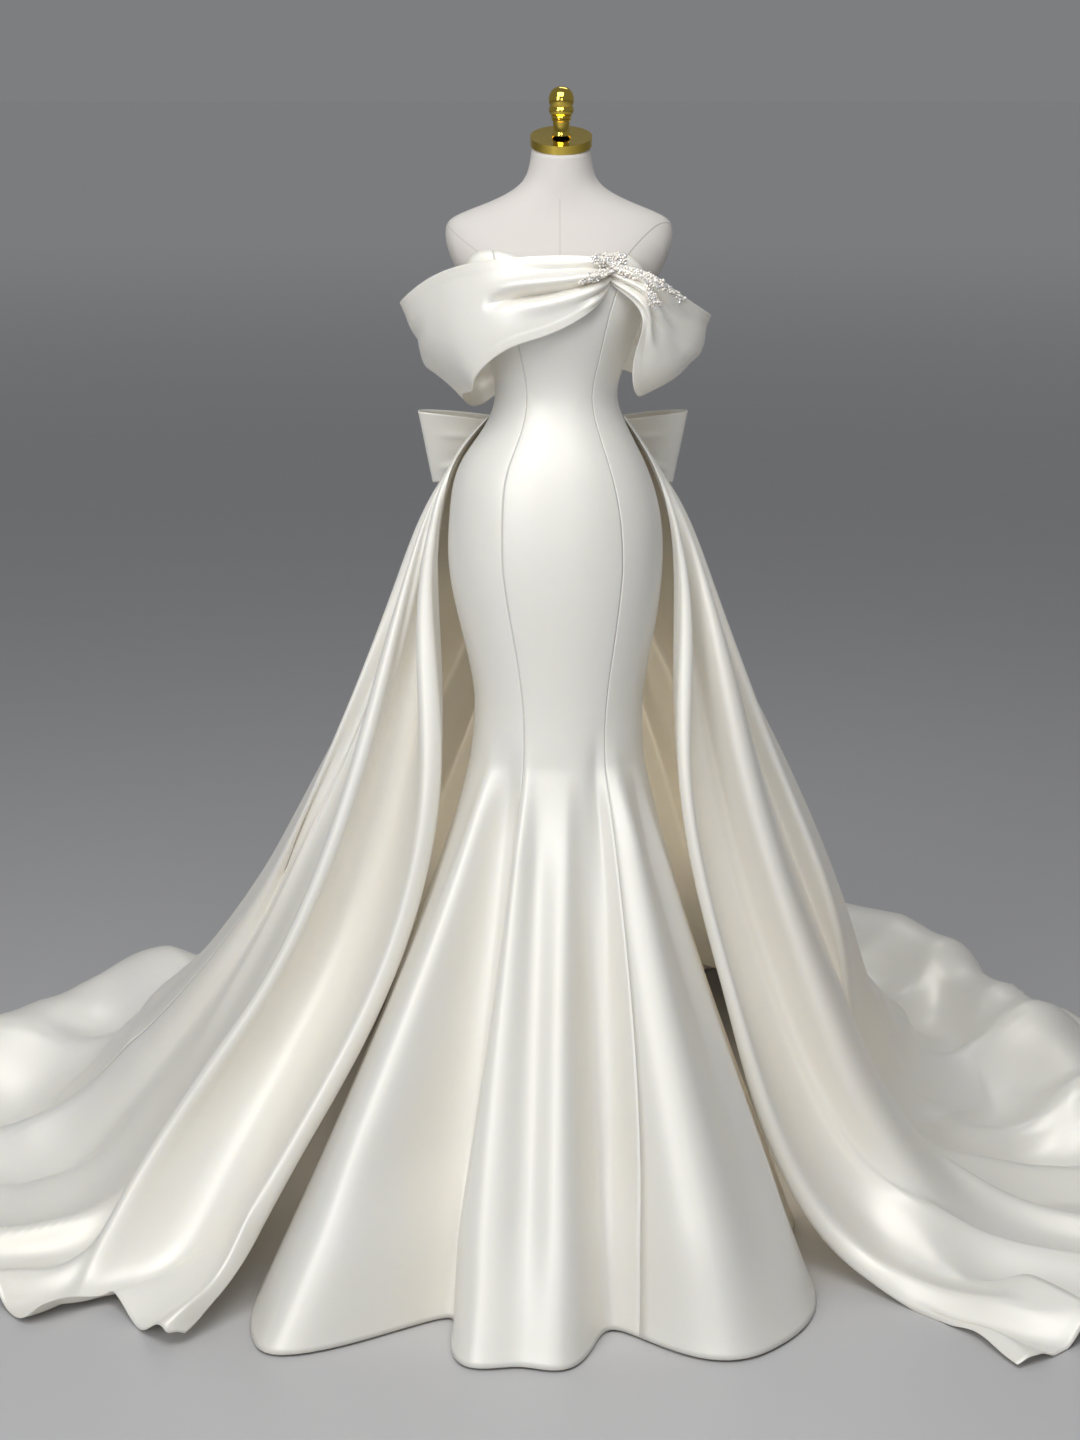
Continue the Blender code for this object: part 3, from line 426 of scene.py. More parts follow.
# The pieces, with the width, length and area of the cloth each is cut from.
GownPanel = namedtuple("GownPanel", "node start end columns wide long area")
PANELS = [
    GownPanel("gown_centre_front", "princess_left", "princess_right", 10, 0.43, 1.68, 0.37),
    GownPanel("gown_side_front_left", "side_left", "princess_left", 12, 0.83, 1.72, 0.51),
    GownPanel("gown_side_front_right", "princess_right", "side_right", 10, 0.65, 1.68, 0.41),
    GownPanel("gown_side_back_left", "back_left", "side_left", 8, 0.40, 1.57, 0.31),
    GownPanel("gown_side_back_right", "side_right", "back_right", 8, 0.38, 1.56, 0.29),
    GownPanel("gown_centre_back_left", None, "back_left", 5, 0.24, 1.56, 0.18),
    GownPanel("gown_centre_back_right", "back_right", None, 5, 0.26, 1.56, 0.19),
]
Gore = namedtuple("Gore", "node wide long area rests_on")
OVERSKIRT_GORES = [
    Gore("overskirt_front_left", 1.20, 1.80, 0.97, "overskirt_back_left"),
    Gore("overskirt_back_left", 2.06, 2.10, 1.84, "gown_centre_back_left"),
    Gore("overskirt_front_right", 0.88, 1.90, 0.83, "overskirt_back_right"),
    Gore("overskirt_back_right", 2.14, 2.24, 1.98, "gown_centre_back_right"),
]
Drape = namedtuple("Drape", "node stations creases columns wide long area")
DRAPES = [
    Drape("drape_front_left", DRAPE_LEFT, DRAPE_LEFT_CREASES, 190, 0.19, 0.67, 0.10),
    Drape("drape_sleeve_right", DRAPE_RIGHT, DRAPE_RIGHT_CREASES, 120, 0.19, 0.50, 0.062),
]
Loop = namedtuple("Loop", "node side reach wide long")
BOW_LOOPS = [
    Loop("bow_loop_left", -1, 1.10, 0.11, 0.39),
    Loop("bow_loop_right", 1, 0.98, 0.11, 0.35),
]
BOW_TAPER = 0.10
KNOT_WIDE, KNOT_DEEP, KNOT_TALL = 0.034, 0.044, 0.070
KNOT_ROWS, KNOT_COLUMNS = 32, 96
KNOT_PINCH = 0.14
KnotPleat = namedtuple("KnotPleat", "share height width")
KNOT_PLEATS = [
    KnotPleat(-0.30, 0.05, 0.07),
    KnotPleat(-0.06, 0.06, 0.06),
    KnotPleat(0.13, 0.04, 0.05),
    KnotPleat(0.33, 0.06, 0.07),
]
BEADS_LIE_ON = ["drape_front_left_cloth", "drape_sleeve_right_cloth", "gown_centre_front_cloth"]
BEAD_SEED = 11
BEAD_SEAT = 0.75
CRUMPLE_FROM_Y, CRUMPLE_FULL_Y, CRUMPLE_TOP_Z, CRUMPLE_STRETCH = 0.15, 0.45, 0.50, 0.45
DRAPE_SAG = 1.35
DRAPE_SINK = 0.030

# The form's seams: where a plane crosses its cover, on one side of the body and at its front.
FormSeam = namedtuple("FormSeam", "point normal side top width")
FORM_SEAMS = [
    FormSeam((-0.002, 0.0, 1.60), (1.0, 0.0, 0.0), 0, 1.662, 0.0006),
    FormSeam((0.1147, -0.0637, 1.6033), (-0.751, 0.634, 0.186), 1, 1.70, 0.0010),
    FormSeam((-0.148, -0.0461, 1.6052), (-0.442, 0.203, -0.874), -1, 1.70, 0.0006),
]

# The neck's plate and finial.
DISC_RADIUS, DISC_THICK, DISC_EDGE = 0.0455, 0.013, 0.0015
DISC_TILT, FINIAL_TILT = 18.0, 9.0
DISC_SIDES = 128
FINIAL_SIDES = 64
SMOOTH_DEGREES = 40.0
Turned = namedtuple("Turned", "radius height")
FINIAL = [
    Turned(0.0136, 0.0000),
    Turned(0.0136, 0.0020),
    Turned(0.0124, 0.0036),
    Turned(0.0120, 0.0060),
    Turned(0.0122, 0.0180),
    Turned(0.0126, 0.0206),
    Turned(0.0142, 0.0216),
    Turned(0.0143, 0.0232),
    Turned(0.0132, 0.0242),
    Turned(0.0150, 0.0258),
    Turned(0.0152, 0.0276),
    Turned(0.0146, 0.0286),
    Turned(0.0166, 0.0310),
    Turned(0.0180, 0.0340),
    Turned(0.0185, 0.0368),
    Turned(0.0181, 0.0396),
    Turned(0.0164, 0.0418),
    Turned(0.0162, 0.0426),
    Turned(0.0176, 0.0452),
    Turned(0.0183, 0.0478),
    Turned(0.0186, 0.0510),
    Turned(0.0184, 0.0540),
    Turned(0.0177, 0.0572),
    Turned(0.0165, 0.0604),
    Turned(0.0147, 0.0634),
    Turned(0.0122, 0.0662),
    Turned(0.0090, 0.0683),
    Turned(0.0050, 0.0696),
    Turned(0.0010, 0.0700),
]
END_FACING, END_DEPTH = 0.85, 0.030
MERGE = 1e-5

# Threads to the metre, how long a float is in threads, and how often the shade drifts to the metre.
Weave = namedtuple("Weave", "threads float drift")
SATIN_WEAVE = Weave(2400, 9, 2.5)
LINEN_WEAVE = Weave(1600, 1, 6)
HAZE_SCALE = 9.0
# Metallic share, how much light sinks into the cloth and comes out on its other side, and sheen.
Shine = namedtuple("Shine", "metallic glow sheen")
SATIN_SHINE = Shine(0.16, 0.30, 0.15)
LINEN_SHINE = Shine(0.0, 0.0, 0.10)
GLOW_REACH, GLOW_SCALE = (1.0, 0.72, 0.40), 0.006

# Camera, light and floor.
CAMERA_PLACE = (-0.031, -4.2, 1.85)
CAMERA_TILT = 13.13
CAMERA_SENSOR = 36.0
CAMERA_LENS = 70.08
FLOOR_SIZE = 300.0
# The floor's colour is painted paler between these distances, as painted light where the lamps don't reach, so it
# meets the air without a line.
FLOOR_PAINTED_LIGHT_SPAN, FLOOR_FAR_PAINTED_LIGHT = (4.0, 28.0), (0.96, 0.96, 0.97)
AIR_COLOUR, AIR_STRENGTH = (0.86, 0.87, 0.90), 0.24
Lamp = namedtuple("Lamp", "name x y z aim_z wide tall watts red blue")
LAMPS = [
    Lamp("Overhead softbox", -0.4, -2.5, 3.9, 0.6, 3.2, 2.2, 108, 1.0, 0.99),
    Lamp("Front window", -2.6, -4.4, 2.4, 0.8, 1.8, 2.4, 62, 1.0, 1.0),
    Lamp("Camera side softbox", 0.3, -5.4, 1.7, 0.7, 1.6, 1.6, 18, 1.0, 1.0),
    Lamp("Back softbox", 0.6, 2.4, 4.8, 0.5, 2.0, 1.0, 18, 1.0, 0.98),
]
# Two small lamps between the skirt and the train, which light the train's inside.
TRAIN_LAMPS = [(-0.20, 0.24, 0.30), (0.24, 0.22, 0.28)]
TRAIN_LAMP_SIZE, TRAIN_LAMP_WATTS, TRAIN_LAMP_COLOUR = 0.06, 1.2, (1.0, 0.90, 0.74)


def smooth(low, high, at):
    """Rises smoothly from 0 at low to 1 at high."""
    share = np.clip((at - low) / (high - low), 0, 1)
    return share * share * (3 - 2 * share)


def spline(knots, values, at):
    """A natural cubic spline through the values, flat beyond its ends."""
    knots = np.asarray(knots, float)
    values = np.asarray(values, float)
    at = np.clip(np.asarray(at, float), knots[0], knots[-1])
    count = len(knots)
    flat = values.reshape(count, -1)
    step = np.diff(knots)
    rise = np.diff(flat, axis=0) / step[:, None]
    system = np.eye(count)
    side = np.zeros_like(flat)
    for i in range(1, count - 1):
        system[i, i - 1:i + 2] = (step[i - 1], 2 * (step[i - 1] + step[i]), step[i])
        side[i] = 6 * (rise[i] - rise[i - 1])
    bend = np.linalg.solve(system, side)
    i = np.clip(np.searchsorted(knots, at, side="right") - 1, 0, count - 2)
    right = ((at - knots[i]) / step[i])[..., None]
    left = 1 - right
    cubic = (left**3 - left) * bend[i] + (right**3 - right) * bend[i + 1]
    found = left * flat[i] + right * flat[i + 1] + cubic * step[i][..., None] ** 2 / 6
    return found.reshape(at.shape + values.shape[1:])


def column(rows, name):
    return [getattr(row, name) for row in rows]


def body_surface(degrees, z, inset=0.0):
    """Points of the body outline at bearings and heights, moved in by inset."""
    degrees, z = np.broadcast_arrays(np.asarray(degrees, float), np.asarray(z, float))
    heights = column(OUTLINE, "z")
    at = np.clip(z, heights[0], heights[-1])
    across = np.sin(np.radians(degrees))
    along = np.cos(np.radians(degrees))
    reach = {name: spline(heights, column(OUTLINE, name), at) for name in OUTLINE[0]._fields[1:]}
    wide = np.where(across > 0, reach["right"], reach["left"]) - inset
    deep = np.where(along > 0, reach["front"], reach["back"]) - inset
    power = 2 / reach["round"]
    lean = -NECK_LEAN * np.clip((at - LEAN_FROM) / LEAN_OVER, 0, 1)
    x = np.sign(across) * wide * np.abs(across) ** power
    y = lean - np.sign(along) * deep * np.abs(along) ** power
    return np.stack([x, y, z], axis=-1)


def gown_surface(degrees, z):
    """Points of the gown's outer surface, which flares below the knee to the lobed hem."""
    degrees, z = np.broadcast_arrays(np.asarray(degrees, float), np.asarray(z, float))
    body = body_surface(degrees, np.maximum(z, KNEE_Z))
    share = (np.clip(KNEE_Z - z, 0, None) / (KNEE_Z - HEM_Z)) ** FLARE_POWER
    reach = spline(column(HEM, "degrees"), column(HEM, "reach"), (degrees + 180) % 360 - 180)
    turn = np.radians(degrees)
    hem = np.stack([reach * np.sin(turn), -reach * np.cos(turn), np.zeros_like(reach)], axis=-1)
    point = body * (1 - share)[..., None] + hem * share[..., None]
    point[..., 2] = z
    return point


def gown_normals(degrees, z):
    along = gown_surface(degrees + PROBE_DEGREES, z) - gown_surface(degrees - PROBE_DEGREES, z)
    up = gown_surface(degrees, z + PROBE) - gown_surface(degrees, np.maximum(z - PROBE, HEM_Z))
    return unit(np.cross(along, up))


def unit(vectors):
    return vectors / np.maximum(np.linalg.norm(vectors, axis=-1, keepdims=True), 1e-9)


def grid_normals(grid):
    """A grid's normals by differences, turned to point away from the pole."""
    normal = unit(np.cross(np.gradient(grid, axis=1), np.gradient(grid, axis=0)))
    if (normal * (grid - grid.mean(axis=(0, 1)) * (0, 0, 1)) * (1, 1, 0)).sum() < 0:
        normal = -normal
    return normal


def crease_heights(run, place, creases):
    """How far each point of a piece stands out for its creases."""
    total = np.zeros(np.broadcast(run, place).shape)
    for crease in creases:
        share = (run - crease.start) / (crease.end - crease.start)
        centre = crease.start_at + (crease.end_at - crease.start_at) * share
        centre = centre + crease.bow * 4 * share * (1 - share)
        fade = smooth(0, CREASE_EASE, share) * smooth(0, CREASE_EASE, 1 - share)
        total += crease.height * fade * np.exp(-np.abs((place - centre) / crease.width) ** CREASE_POWER)
    return total


def unevenness(grid, size, height, stretch=(1, 1, 1)):
    """A slow random swell over a piece, longer along the axes with a stretch."""
    points = grid.reshape(-1, 3) / size / np.array(stretch)
    swell = [noise.noise(Vector(point)) for point in points]
    return height * np.array(swell).reshape(grid.shape[:-1])


def crumple(grid, size, height, shift=0.0):
    """Sharp random ridges that run outwards, as where stiff cloth is thrown in a heap."""
    turn = np.arctan2(grid[..., 1], grid[..., 0])
    out = np.hypot(grid[..., 0], grid[..., 1]) * CRUMPLE_STRETCH
    points = np.stack([turn, out, grid[..., 2]], axis=-1).reshape(-1, 3) / size + shift
    ridges = [1 - 2.6 * abs(noise.noise(Vector(point))) for point in points]
    return height * np.array(ridges).reshape(grid.shape[:-1])


def seam_bearing(name, z, side):
    """The bearing of a seam at each height; the centre back seam has none of its own."""
    if name is None:
        return np.full_like(z, 180.0 * side)
    return np.interp(z, SEAM_HEIGHTS[::-1], SEAMS[name][::-1])


def arc_lengths(grid, axis):
    """The distance along a grid's rows or columns from their first point."""
    step = np.linalg.norm(np.diff(grid, axis=axis), axis=2)
    pad = [(0, 0), (0, 0)]
    pad[axis] = (1, 0)
    return np.pad(np.cumsum(step, axis=axis), pad)


def edge_distance(lengths, axis):
    """The distance of each point from the nearer end of its row or column."""
    whole = np.take(lengths, [-1], axis=axis)
    return np.minimum(lengths, whole - lengths)


def draw_in_seams(grid):
    """Draws the first and last column in by half a seam gap, as the next piece lies beside them."""
    for edge, beside in ((0, 1), (-1, -2)):
        grid[:, edge] += unit(grid[:, beside] - grid[:, edge]) * SEAM_GAP / 2
    return grid


def cloth_piece(name, grid, outward, thickness, finish, closed=False):
    """A sheet of cloth through a grid of points, thickened outwards or, below zero, inwards."""
    rows, columns = grid.shape[:2]
    wrap = columns if closed else columns - 1
    faces = []
    for r in range(rows - 1):
        for c in range(wrap):
            d = (c + 1) % columns
            faces.append((r * columns + c, (r + 1) * columns + c, (r + 1) * columns + d, r * columns + d))
    middle = (rows // 2, columns // 2)
    down = grid[middle[0] + 1, middle[1]] - grid[middle]
    along = grid[middle[0], middle[1] + 1] - grid[middle]
    if np.dot(np.cross(down, along), outward[middle]) < 0:
        faces = [face[::-1] for face in faces]
    mesh = bpy.data.meshes.new(name)
    mesh.from_pydata(grid.reshape(-1, 3).tolist(), [], faces)
    lengths = np.stack([arc_lengths(grid, 1), arc_lengths(grid, 0)], axis=-1).reshape(-1, 2)
    corners = np.zeros(len(mesh.loops), np.int32)
    mesh.loops.foreach_get("vertex_index", corners)
    weave = mesh.uv_layers.new(name="Weave")
    weave.data.foreach_set("uv", lengths[corners].astype(np.float32).ravel())
    mesh.shade_smooth()
    mesh.materials.append(finish)
    piece = bpy.data.objects.new(name, mesh)
    bpy.context.scene.collection.objects.link(piece)
    wall = piece.modifiers.new("Cloth thickness", "SOLIDIFY")
    wall.thickness = abs(thickness)
    wall.offset = math.copysign(1, thickness)
    return piece


def hand_over(piece, slot, *nodes):
    """The piece rides with the gown's one body and stands for its solids."""
    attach(piece, BODY)
    if nodes:
        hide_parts(*nodes)
    return piece


def gown_grid(panel, columns):
    """The bearings, heights, and distance from the nearer seam of a panel's points."""
    side = -1 if panel.end == "back_left" else 1
    steps = np.linspace(0, 1, columns)[None, :]
    level = np.array([BUST_Z])
    first = seam_bearing(panel.start, level, side)
    last = seam_bearing(panel.end, level, side)
    top = spline(column(NECKLINE, "degrees"), column(NECKLINE, "z"), first + steps * (last - first))
    bust = top + (BUST_Z - top) * np.linspace(0, 1, BUST_ROWS, endpoint=False)[:, None]
    below = np.repeat(np.linspace(BUST_Z, HEM_Z, SKIRT_ROWS)[:, None], columns, axis=1)
    z = np.concatenate([bust, below])
    first = seam_bearing(panel.start, z, side)
    last = seam_bearing(panel.end, z, side)
    return first + steps * (last - first), z


def sew_panel(panel, sizes, finish):
    """One gown panel from neckline to hem, with its seams drawn in and its flare creased."""
    degrees, z = gown_grid(panel, panel.columns * PANEL_FINENESS)
    grid = gown_surface(degrees, z)
    outward = gown_normals(degrees, z)
    edge = edge_distance(arc_lengths(grid, 1), 1)
    from_hem = edge_distance(arc_lengths(grid, 0), 0)
    lift = sizes.fold_strength * crease_heights(SKIRT_TOP_Z - z, degrees, SKIRT_CREASES)
    lift += unevenness(grid, 0.16, sizes.unevenness, (1, 1, 3))
    lift -= sizes.seam_depth * np.exp(-(edge / sizes.seam_width) ** 2)
    lift += sizes.pucker * np.sin(z / PUCKER_LENGTH + 9 * degrees) * np.exp(-edge / PUCKER_REACH)
    lift += sizes.hem_depth * smooth(HEM_WIDTH, HEM_WIDTH * 0.8, from_hem)
    lift = np.where(z > HELD_Z, np.maximum(lift, -SNUG), lift)
    grid = grid + outward * lift[..., None]
    grid[..., 2] = np.maximum(grid[..., 2], HEM_Z / 2)
    piece = cloth_piece(panel.node + "_cloth", draw_in_seams(grid), outward, -CLOTH, finish)
    return hand_over(piece, "satin", panel.node)


def fold_tracks(pleats, falls):
    """The overskirt's fold lines as points, from the waist down and over the floor to the hem."""
    tracks = []
    for pleat, fall in zip(pleats, falls):
        held = [
            (pleat.waist_deg, WAIST_Z, pleat.waist_out),
            (
                (pleat.waist_deg + pleat.seat_deg) / 2,
                (WAIST_Z + SEAT_Z) / 2,
                pleat.waist_out + SWELL_SHARE * (pleat.seat_out - pleat.waist_out) + SWELL,
            ),
            (pleat.seat_deg, SEAT_Z, pleat.seat_out),
            (pleat.hip_deg, HIP_Z, pleat.hip_out),
        ]
        free = zip(fall[0::2], fall[1::2], (THIGH_Z, CALF_Z, ANKLE_Z, TOUCH_Z, FLOOR_LIFT))
        tracks.append([body_surface(degrees, z, -out) for degrees, z, out in held] + [list(p) for p in free])
    return np.array(tracks, float)


def heap_height(x, y):
    total = np.zeros_like(x)
    for heap in HEAPS:
        turn = math.radians(heap.turn_deg)
        along = (x - heap.x) * math.cos(turn) + (y - heap.y) * math.sin(turn)
        across = (y - heap.y) * math.cos(turn) - (x - heap.x) * math.sin(turn)
        total += heap.height * np.exp(-((along / heap.length) ** 2) - (across / heap.width) ** 2)
    return total


def floor_folds(grid, strength):
    """Raises the folds of the cloth on the floor, each leaning over to its own side."""
    moved = grid.copy()
    fade = np.clip(1 - grid[..., 2] / FLOOR_FOLD_FADE, 0, 1)
    for fold in FLOOR_FOLDS:
        way = np.array([fold.to_x - fold.x, fold.to_y - fold.y])
        length = np.linalg.norm(way)
        way = way / length
        along = (grid[..., 0] - fold.x) * way[0] + (grid[..., 1] - fold.y) * way[1]
        across = (grid[..., 1] - fold.y) * way[0] - (grid[..., 0] - fold.x) * way[1]
        share = along / length
        rise = smooth(-0.15, 0.35, share) * smooth(-0.25, 0.25, 1 - share)
        rise = rise * fade * strength * np.exp(-np.abs(across / fold.width) ** CREASE_POWER)
        moved[..., 2] += fold.height * rise
        moved[..., 0] -= fold.lean * rise * way[1]
        moved[..., 1] += fold.lean * rise * way[0]
    return moved


def overskirt_side(pleats, falls, creases, sizes):
    """One side of the overskirt from its front edge to the centre back, with its fold numbers."""
    knots = np.arange(len(pleats), dtype=float)
    across = np.linspace(0, knots[-1], (len(pleats) - 1) * FOLD_COLUMNS + 1)
    folded = spline(knots, fold_tracks(pleats, falls), across)
    run = np.linspace(0, 1, TRAIN_ROWS)
    grid = np.zeros((TRAIN_ROWS, len(across), 3))
    for c in range(len(across)):
        span = np.linalg.norm(np.diff(folded[c], axis=0), axis=1)
        length = np.concatenate([[0], np.cumsum(span)])
        grid[:, c] = spline(length / length[-1], folded[c], run)
    fade = np.clip(1 - grid[..., 2] / HEAP_FADE, 0, 1)
    grid[..., 2] += heap_height(grid[..., 0], grid[..., 1]) * fade
    outward = grid_normals(grid)
    room = smooth(0.0, 0.12, run)[:, None]
    lift = sizes.fold_strength * crease_heights(run[:, None], across[None, :], creases) * room
    lift += unevenness(grid, 0.14, sizes.unevenness * 2, (1, 1, 2.5)) * room
    heaped = smooth(CRUMPLE_FROM_Y, CRUMPLE_FULL_Y, grid[..., 1]) * smooth(CRUMPLE_TOP_Z, 0.05, grid[..., 2])
    lift += (crumple(grid, 0.30, 0.024) + crumple(grid, 0.12, 0.009, 7.3)) * heaped * sizes.fold_strength
    grid = grid + outward * lift[..., None]
    grid = floor_folds(grid, sizes.fold_strength)
    grid[..., 2] = np.maximum(grid[..., 2], FLOOR_LIFT)
    edge = np.minimum(arc_lengths(grid, 1), edge_distance(arc_lengths(grid, 0), 0) + 1e3 * (run < 0.5)[:, None])
    step = sizes.hem_depth * smooth(HEM_WIDTH, HEM_WIDTH * 0.8, edge)
    return grid + grid_normals(grid) * step[..., None]


def join_centre_back(left, right):
    """Brings the last columns of the two sides together over their last fold, at the seam."""
    seam = (left[:, -1] + right[:, -1]) / 2
    for side in (left, right):
        shift = seam - side[:, -1]
        from_seam = np.arange(side.shape[1])[::-1]
        share = smooth(FOLD_COLUMNS, 0, from_seam)
        side += shift[:, None] * share[None, :, None]


def hang_gores(name, grid, sizes, finish):
    """One side's two gores, cut at the side seam."""
    outward = grid_normals(grid)
    split = SPLIT_LINE * FOLD_COLUMNS
    for gore in OVERSKIRT_GORES:
        if not gore.node.endswith(name):
            continue
        part = slice(0, split + 1) if "front" in gore.node else slice(split, None)
        own = draw_in_seams(grid[:, part].copy())
        piece = cloth_piece(gore.node + "_cloth", own, outward[:, part], TRAIN_CLOTH, finish)
        hand_over(piece, "satin", gore.node)


def against_gown(point):
    """The point moved level with itself to lie just off the gown's surface."""
    degrees = math.degrees(math.atan2(point[0], -point[1]))
    for _ in range(6):
        held = body_surface(degrees, point[2], -SNUG)
        degrees += math.degrees(math.atan2(point[0], -point[1]) - math.atan2(held[0], -held[1]))
    return held


def drape_grid(stations, rows, columns):
    """A drape's points from its upper to its lower edge, from the knot round the arm to the back."""
    knots = np.arange(len(stations), dtype=float)
    top = np.array([[s.top_x, s.top_y, s.top_z] for s in stations])
    low = np.array([[s.low_x, s.low_y, s.low_z] for s in stations])
    for end in (0, -1):
        top[end] = against_gown(top[end])
        low[end] = against_gown(low[end])
    across = np.linspace(0, knots[-1], columns)
    place = np.linspace(0, 1, rows)[:, None]
    upper = spline(knots, top, across)
    lower = spline(knots, low, across)
    grid = upper[None] + (lower - upper)[None] * place[..., None]
    out = unit(grid * (1, 1, 0))
    bulge = spline(knots, column(stations, "bulge"), across)[None, :] * np.sin(math.pi * place**DRAPE_SAG)
    return grid + out * bulge[..., None], across[None, :], place


def wrap_drape(drape, sizes, finish):
    grid, run, place = drape_grid(drape.stations, DRAPE_ROWS, drape.columns)
    outward = grid_normals(grid)
    lift = sizes.fold_strength * crease_heights(run, place, drape.creases)
    lift += unevenness(grid, 0.07, sizes.unevenness)
    edge = edge_distance(arc_lengths(grid, 0), 0)
    lift += sizes.hem_depth * smooth(HEM_WIDTH, HEM_WIDTH * 0.8, edge)
    lift = np.maximum(lift, -DRAPE_SINK * smooth(0, HELD_STATIONS, run))
    piece = cloth_piece(drape.node + "_cloth", grid + outward * lift[..., None], outward, CLOTH, finish)
    return hand_over(piece, "satin", drape.node)


def bow_loop(loop, middle, sizes, finish):
    """A loop of the bow: out on the far layer and back on the near one."""
    knots = np.arange(len(BOW_LOOP), dtype=float)
    turns = np.array(BOW_LOOP)
    run = np.linspace(0, knots[-1], BOW_COLUMNS)[None, :]
    track = spline(knots, turns, run[0])
    longest = turns[:, 0].max()
    step = np.linspace(1, -1, BOW_ROWS)[:, None]
    share = (track[:, 0] - track[0, 0]) / (longest - track[0, 0])
    out = track[0, 0] + (track[:, 0] - track[0, 0]) * loop.reach
    x = loop.side * (out - BOW_TAPER * (1 - step) / 2 * share * longest)
    y = middle + track[:, 1] - BOW_LEAN * step * track[:, 2]
    z = BOW_Z + step * track[:, 2]
    grid = np.stack(np.broadcast_arrays(x, y, z), axis=-1)
    outward = unit(np.cross(np.gradient(grid, axis=1), np.gradient(grid, axis=0)))
    if (outward * (grid - grid.mean(axis=(0, 1)))).sum() < 0:
        outward = -outward
    lift = sizes.fold_strength * crease_heights(run, (1 - step) / 2, BOW_CREASES)
    lift += unevenness(grid, 0.06, sizes.unevenness * 0.7) * share
    piece = cloth_piece(loop.node + "_cloth", grid + outward * lift[..., None], outward, CLOTH, finish)
    return hand_over(piece, "satin", loop.node)


def bow_knot(middle, sizes, finish):
    """The crossways band round the loops' gathered ends, open towards both loops."""
    share = np.linspace(-0.5, 0.5, KNOT_ROWS)[:, None]
    turn = np.linspace(0, 2 * math.pi, KNOT_COLUMNS, endpoint=False)[None, :]
    pleats = np.zeros_like(share)
    for pleat in KNOT_PLEATS:
        pleats = pleats + pleat.height * np.exp(-((share - pleat.share) / pleat.width) ** 2)
    swell = 1 - KNOT_PINCH * (2 * share) ** 4 + pleats * sizes.fold_strength
    up = KNOT_TALL / 2 * np.sin(turn) * swell
    deep = KNOT_DEEP / 2 * np.cos(turn) * swell
    x = KNOT_WIDE * share + 0 * up
    grid = np.stack([x, middle + deep - BOW_LEAN * up, BOW_Z + up], axis=-1)
    outward = unit(grid - np.array([0, middle, BOW_Z]) * (1, 1, 1) - grid * (1, 0, 0))
    piece = cloth_piece("bow_knot_cloth", grid, outward, -CLOTH, finish, closed=True)
    return hand_over(piece, "satin", "bow_knot")


def first_hit(trees, start, way):
    """Where a line from start first meets any of the trees, and which way the surface faces."""
    found = [tree.ray_cast(start, way) for tree in trees]
    found = [hit for hit in found if hit[0] is not None]
    return min(found, key=lambda hit: hit[3]) if found else None


def bead_places(trees, gap):
    """Where beads lie on the cloth: scattered over each patch, none nearer than gap to another."""
    scatter = random.Random(BEAD_SEED)
    places = []
    for patch in PATCHES:
        laid = 0
        for _ in range(patch.beads * 20):
            if laid == patch.beads:
                break
            share = scatter.random()
            x = patch.x + (patch.to_x - patch.x) * share + scatter.gauss(0, patch.spread / 2)
            z = patch.z + (patch.to_z - patch.z) * share + scatter.gauss(0, patch.spread / 2)
            hit = first_hit(trees, Vector((x, -1.0, z)), Vector((0, 1, 0)))
            if hit is None or any((hit[0] - place).length < gap for place, _ in places):
                continue
            places.append((hit[0], hit[1] if hit[1].y < 0 else -hit[1]))
            laid += 1
    return places


def bead_shape(kind):
    """One bead of radius 1 at the origin, as vertices and faces."""
    bpy.ops.object.select_all(action="DESELECT")
    if kind == "pearl":
        bpy.ops.mesh.primitive_uv_sphere_add(segments=9, ring_count=6, radius=1)
    else:
        bpy.ops.mesh.primitive_ico_sphere_add(subdivisions=1, radius=1)
        bpy.ops.object.mode_set(mode="EDIT")
        bpy.ops.mesh.select_all(action="SELECT")
        bpy.ops.transform.resize(value=(1, 1, 0.72))
        bpy.ops.object.mode_set(mode="OBJECT")
    bead = bpy.context.object
    corners = np.array([list(vertex.co) for vertex in bead.data.vertices])
    faces = [tuple(face.vertices) for face in bead.data.polygons]
    bpy.data.objects.remove(bead, do_unlink=True)
    return corners, faces


def string_beads(name, kind, places, sizes, finish):
    """All the beads of one kind as a single mesh, each lying on the cloth under it."""
    scatter = random.Random(BEAD_SEED + len(places))
    corners, faces = bead_shape(kind)
    points = []
    polygons = []
    for place, facing in places:
        radius = sizes.bead_size / 2 * scatter.uniform(0.62, 1.15)
        turned = facing.to_track_quat("Z", "Y").to_matrix()
        spun = turned @ Matrix.Rotation(scatter.uniform(0, math.tau), 3, "Z")
        base = len(points)
        for corner in corners:
            points.append(place + facing * radius * BEAD_SEAT + spun @ Vector(corner) * radius)
        polygons += [tuple(base + i for i in face) for face in faces]
    mesh = bpy.data.meshes.new(name)
    mesh.from_pydata([list(point) for point in points], [], polygons)
    if kind == "pearl":
        mesh.shade_smooth()
    mesh.materials.append(finish)
    piece = bpy.data.objects.new(name, mesh)
    bpy.context.scene.collection.objects.link(piece)
    return piece


def only(piece):
    """Selects one object alone and makes it active."""
    bpy.ops.object.select_all(action="DESELECT")
    piece.select_set(True)
    bpy.context.view_layer.objects.active = piece


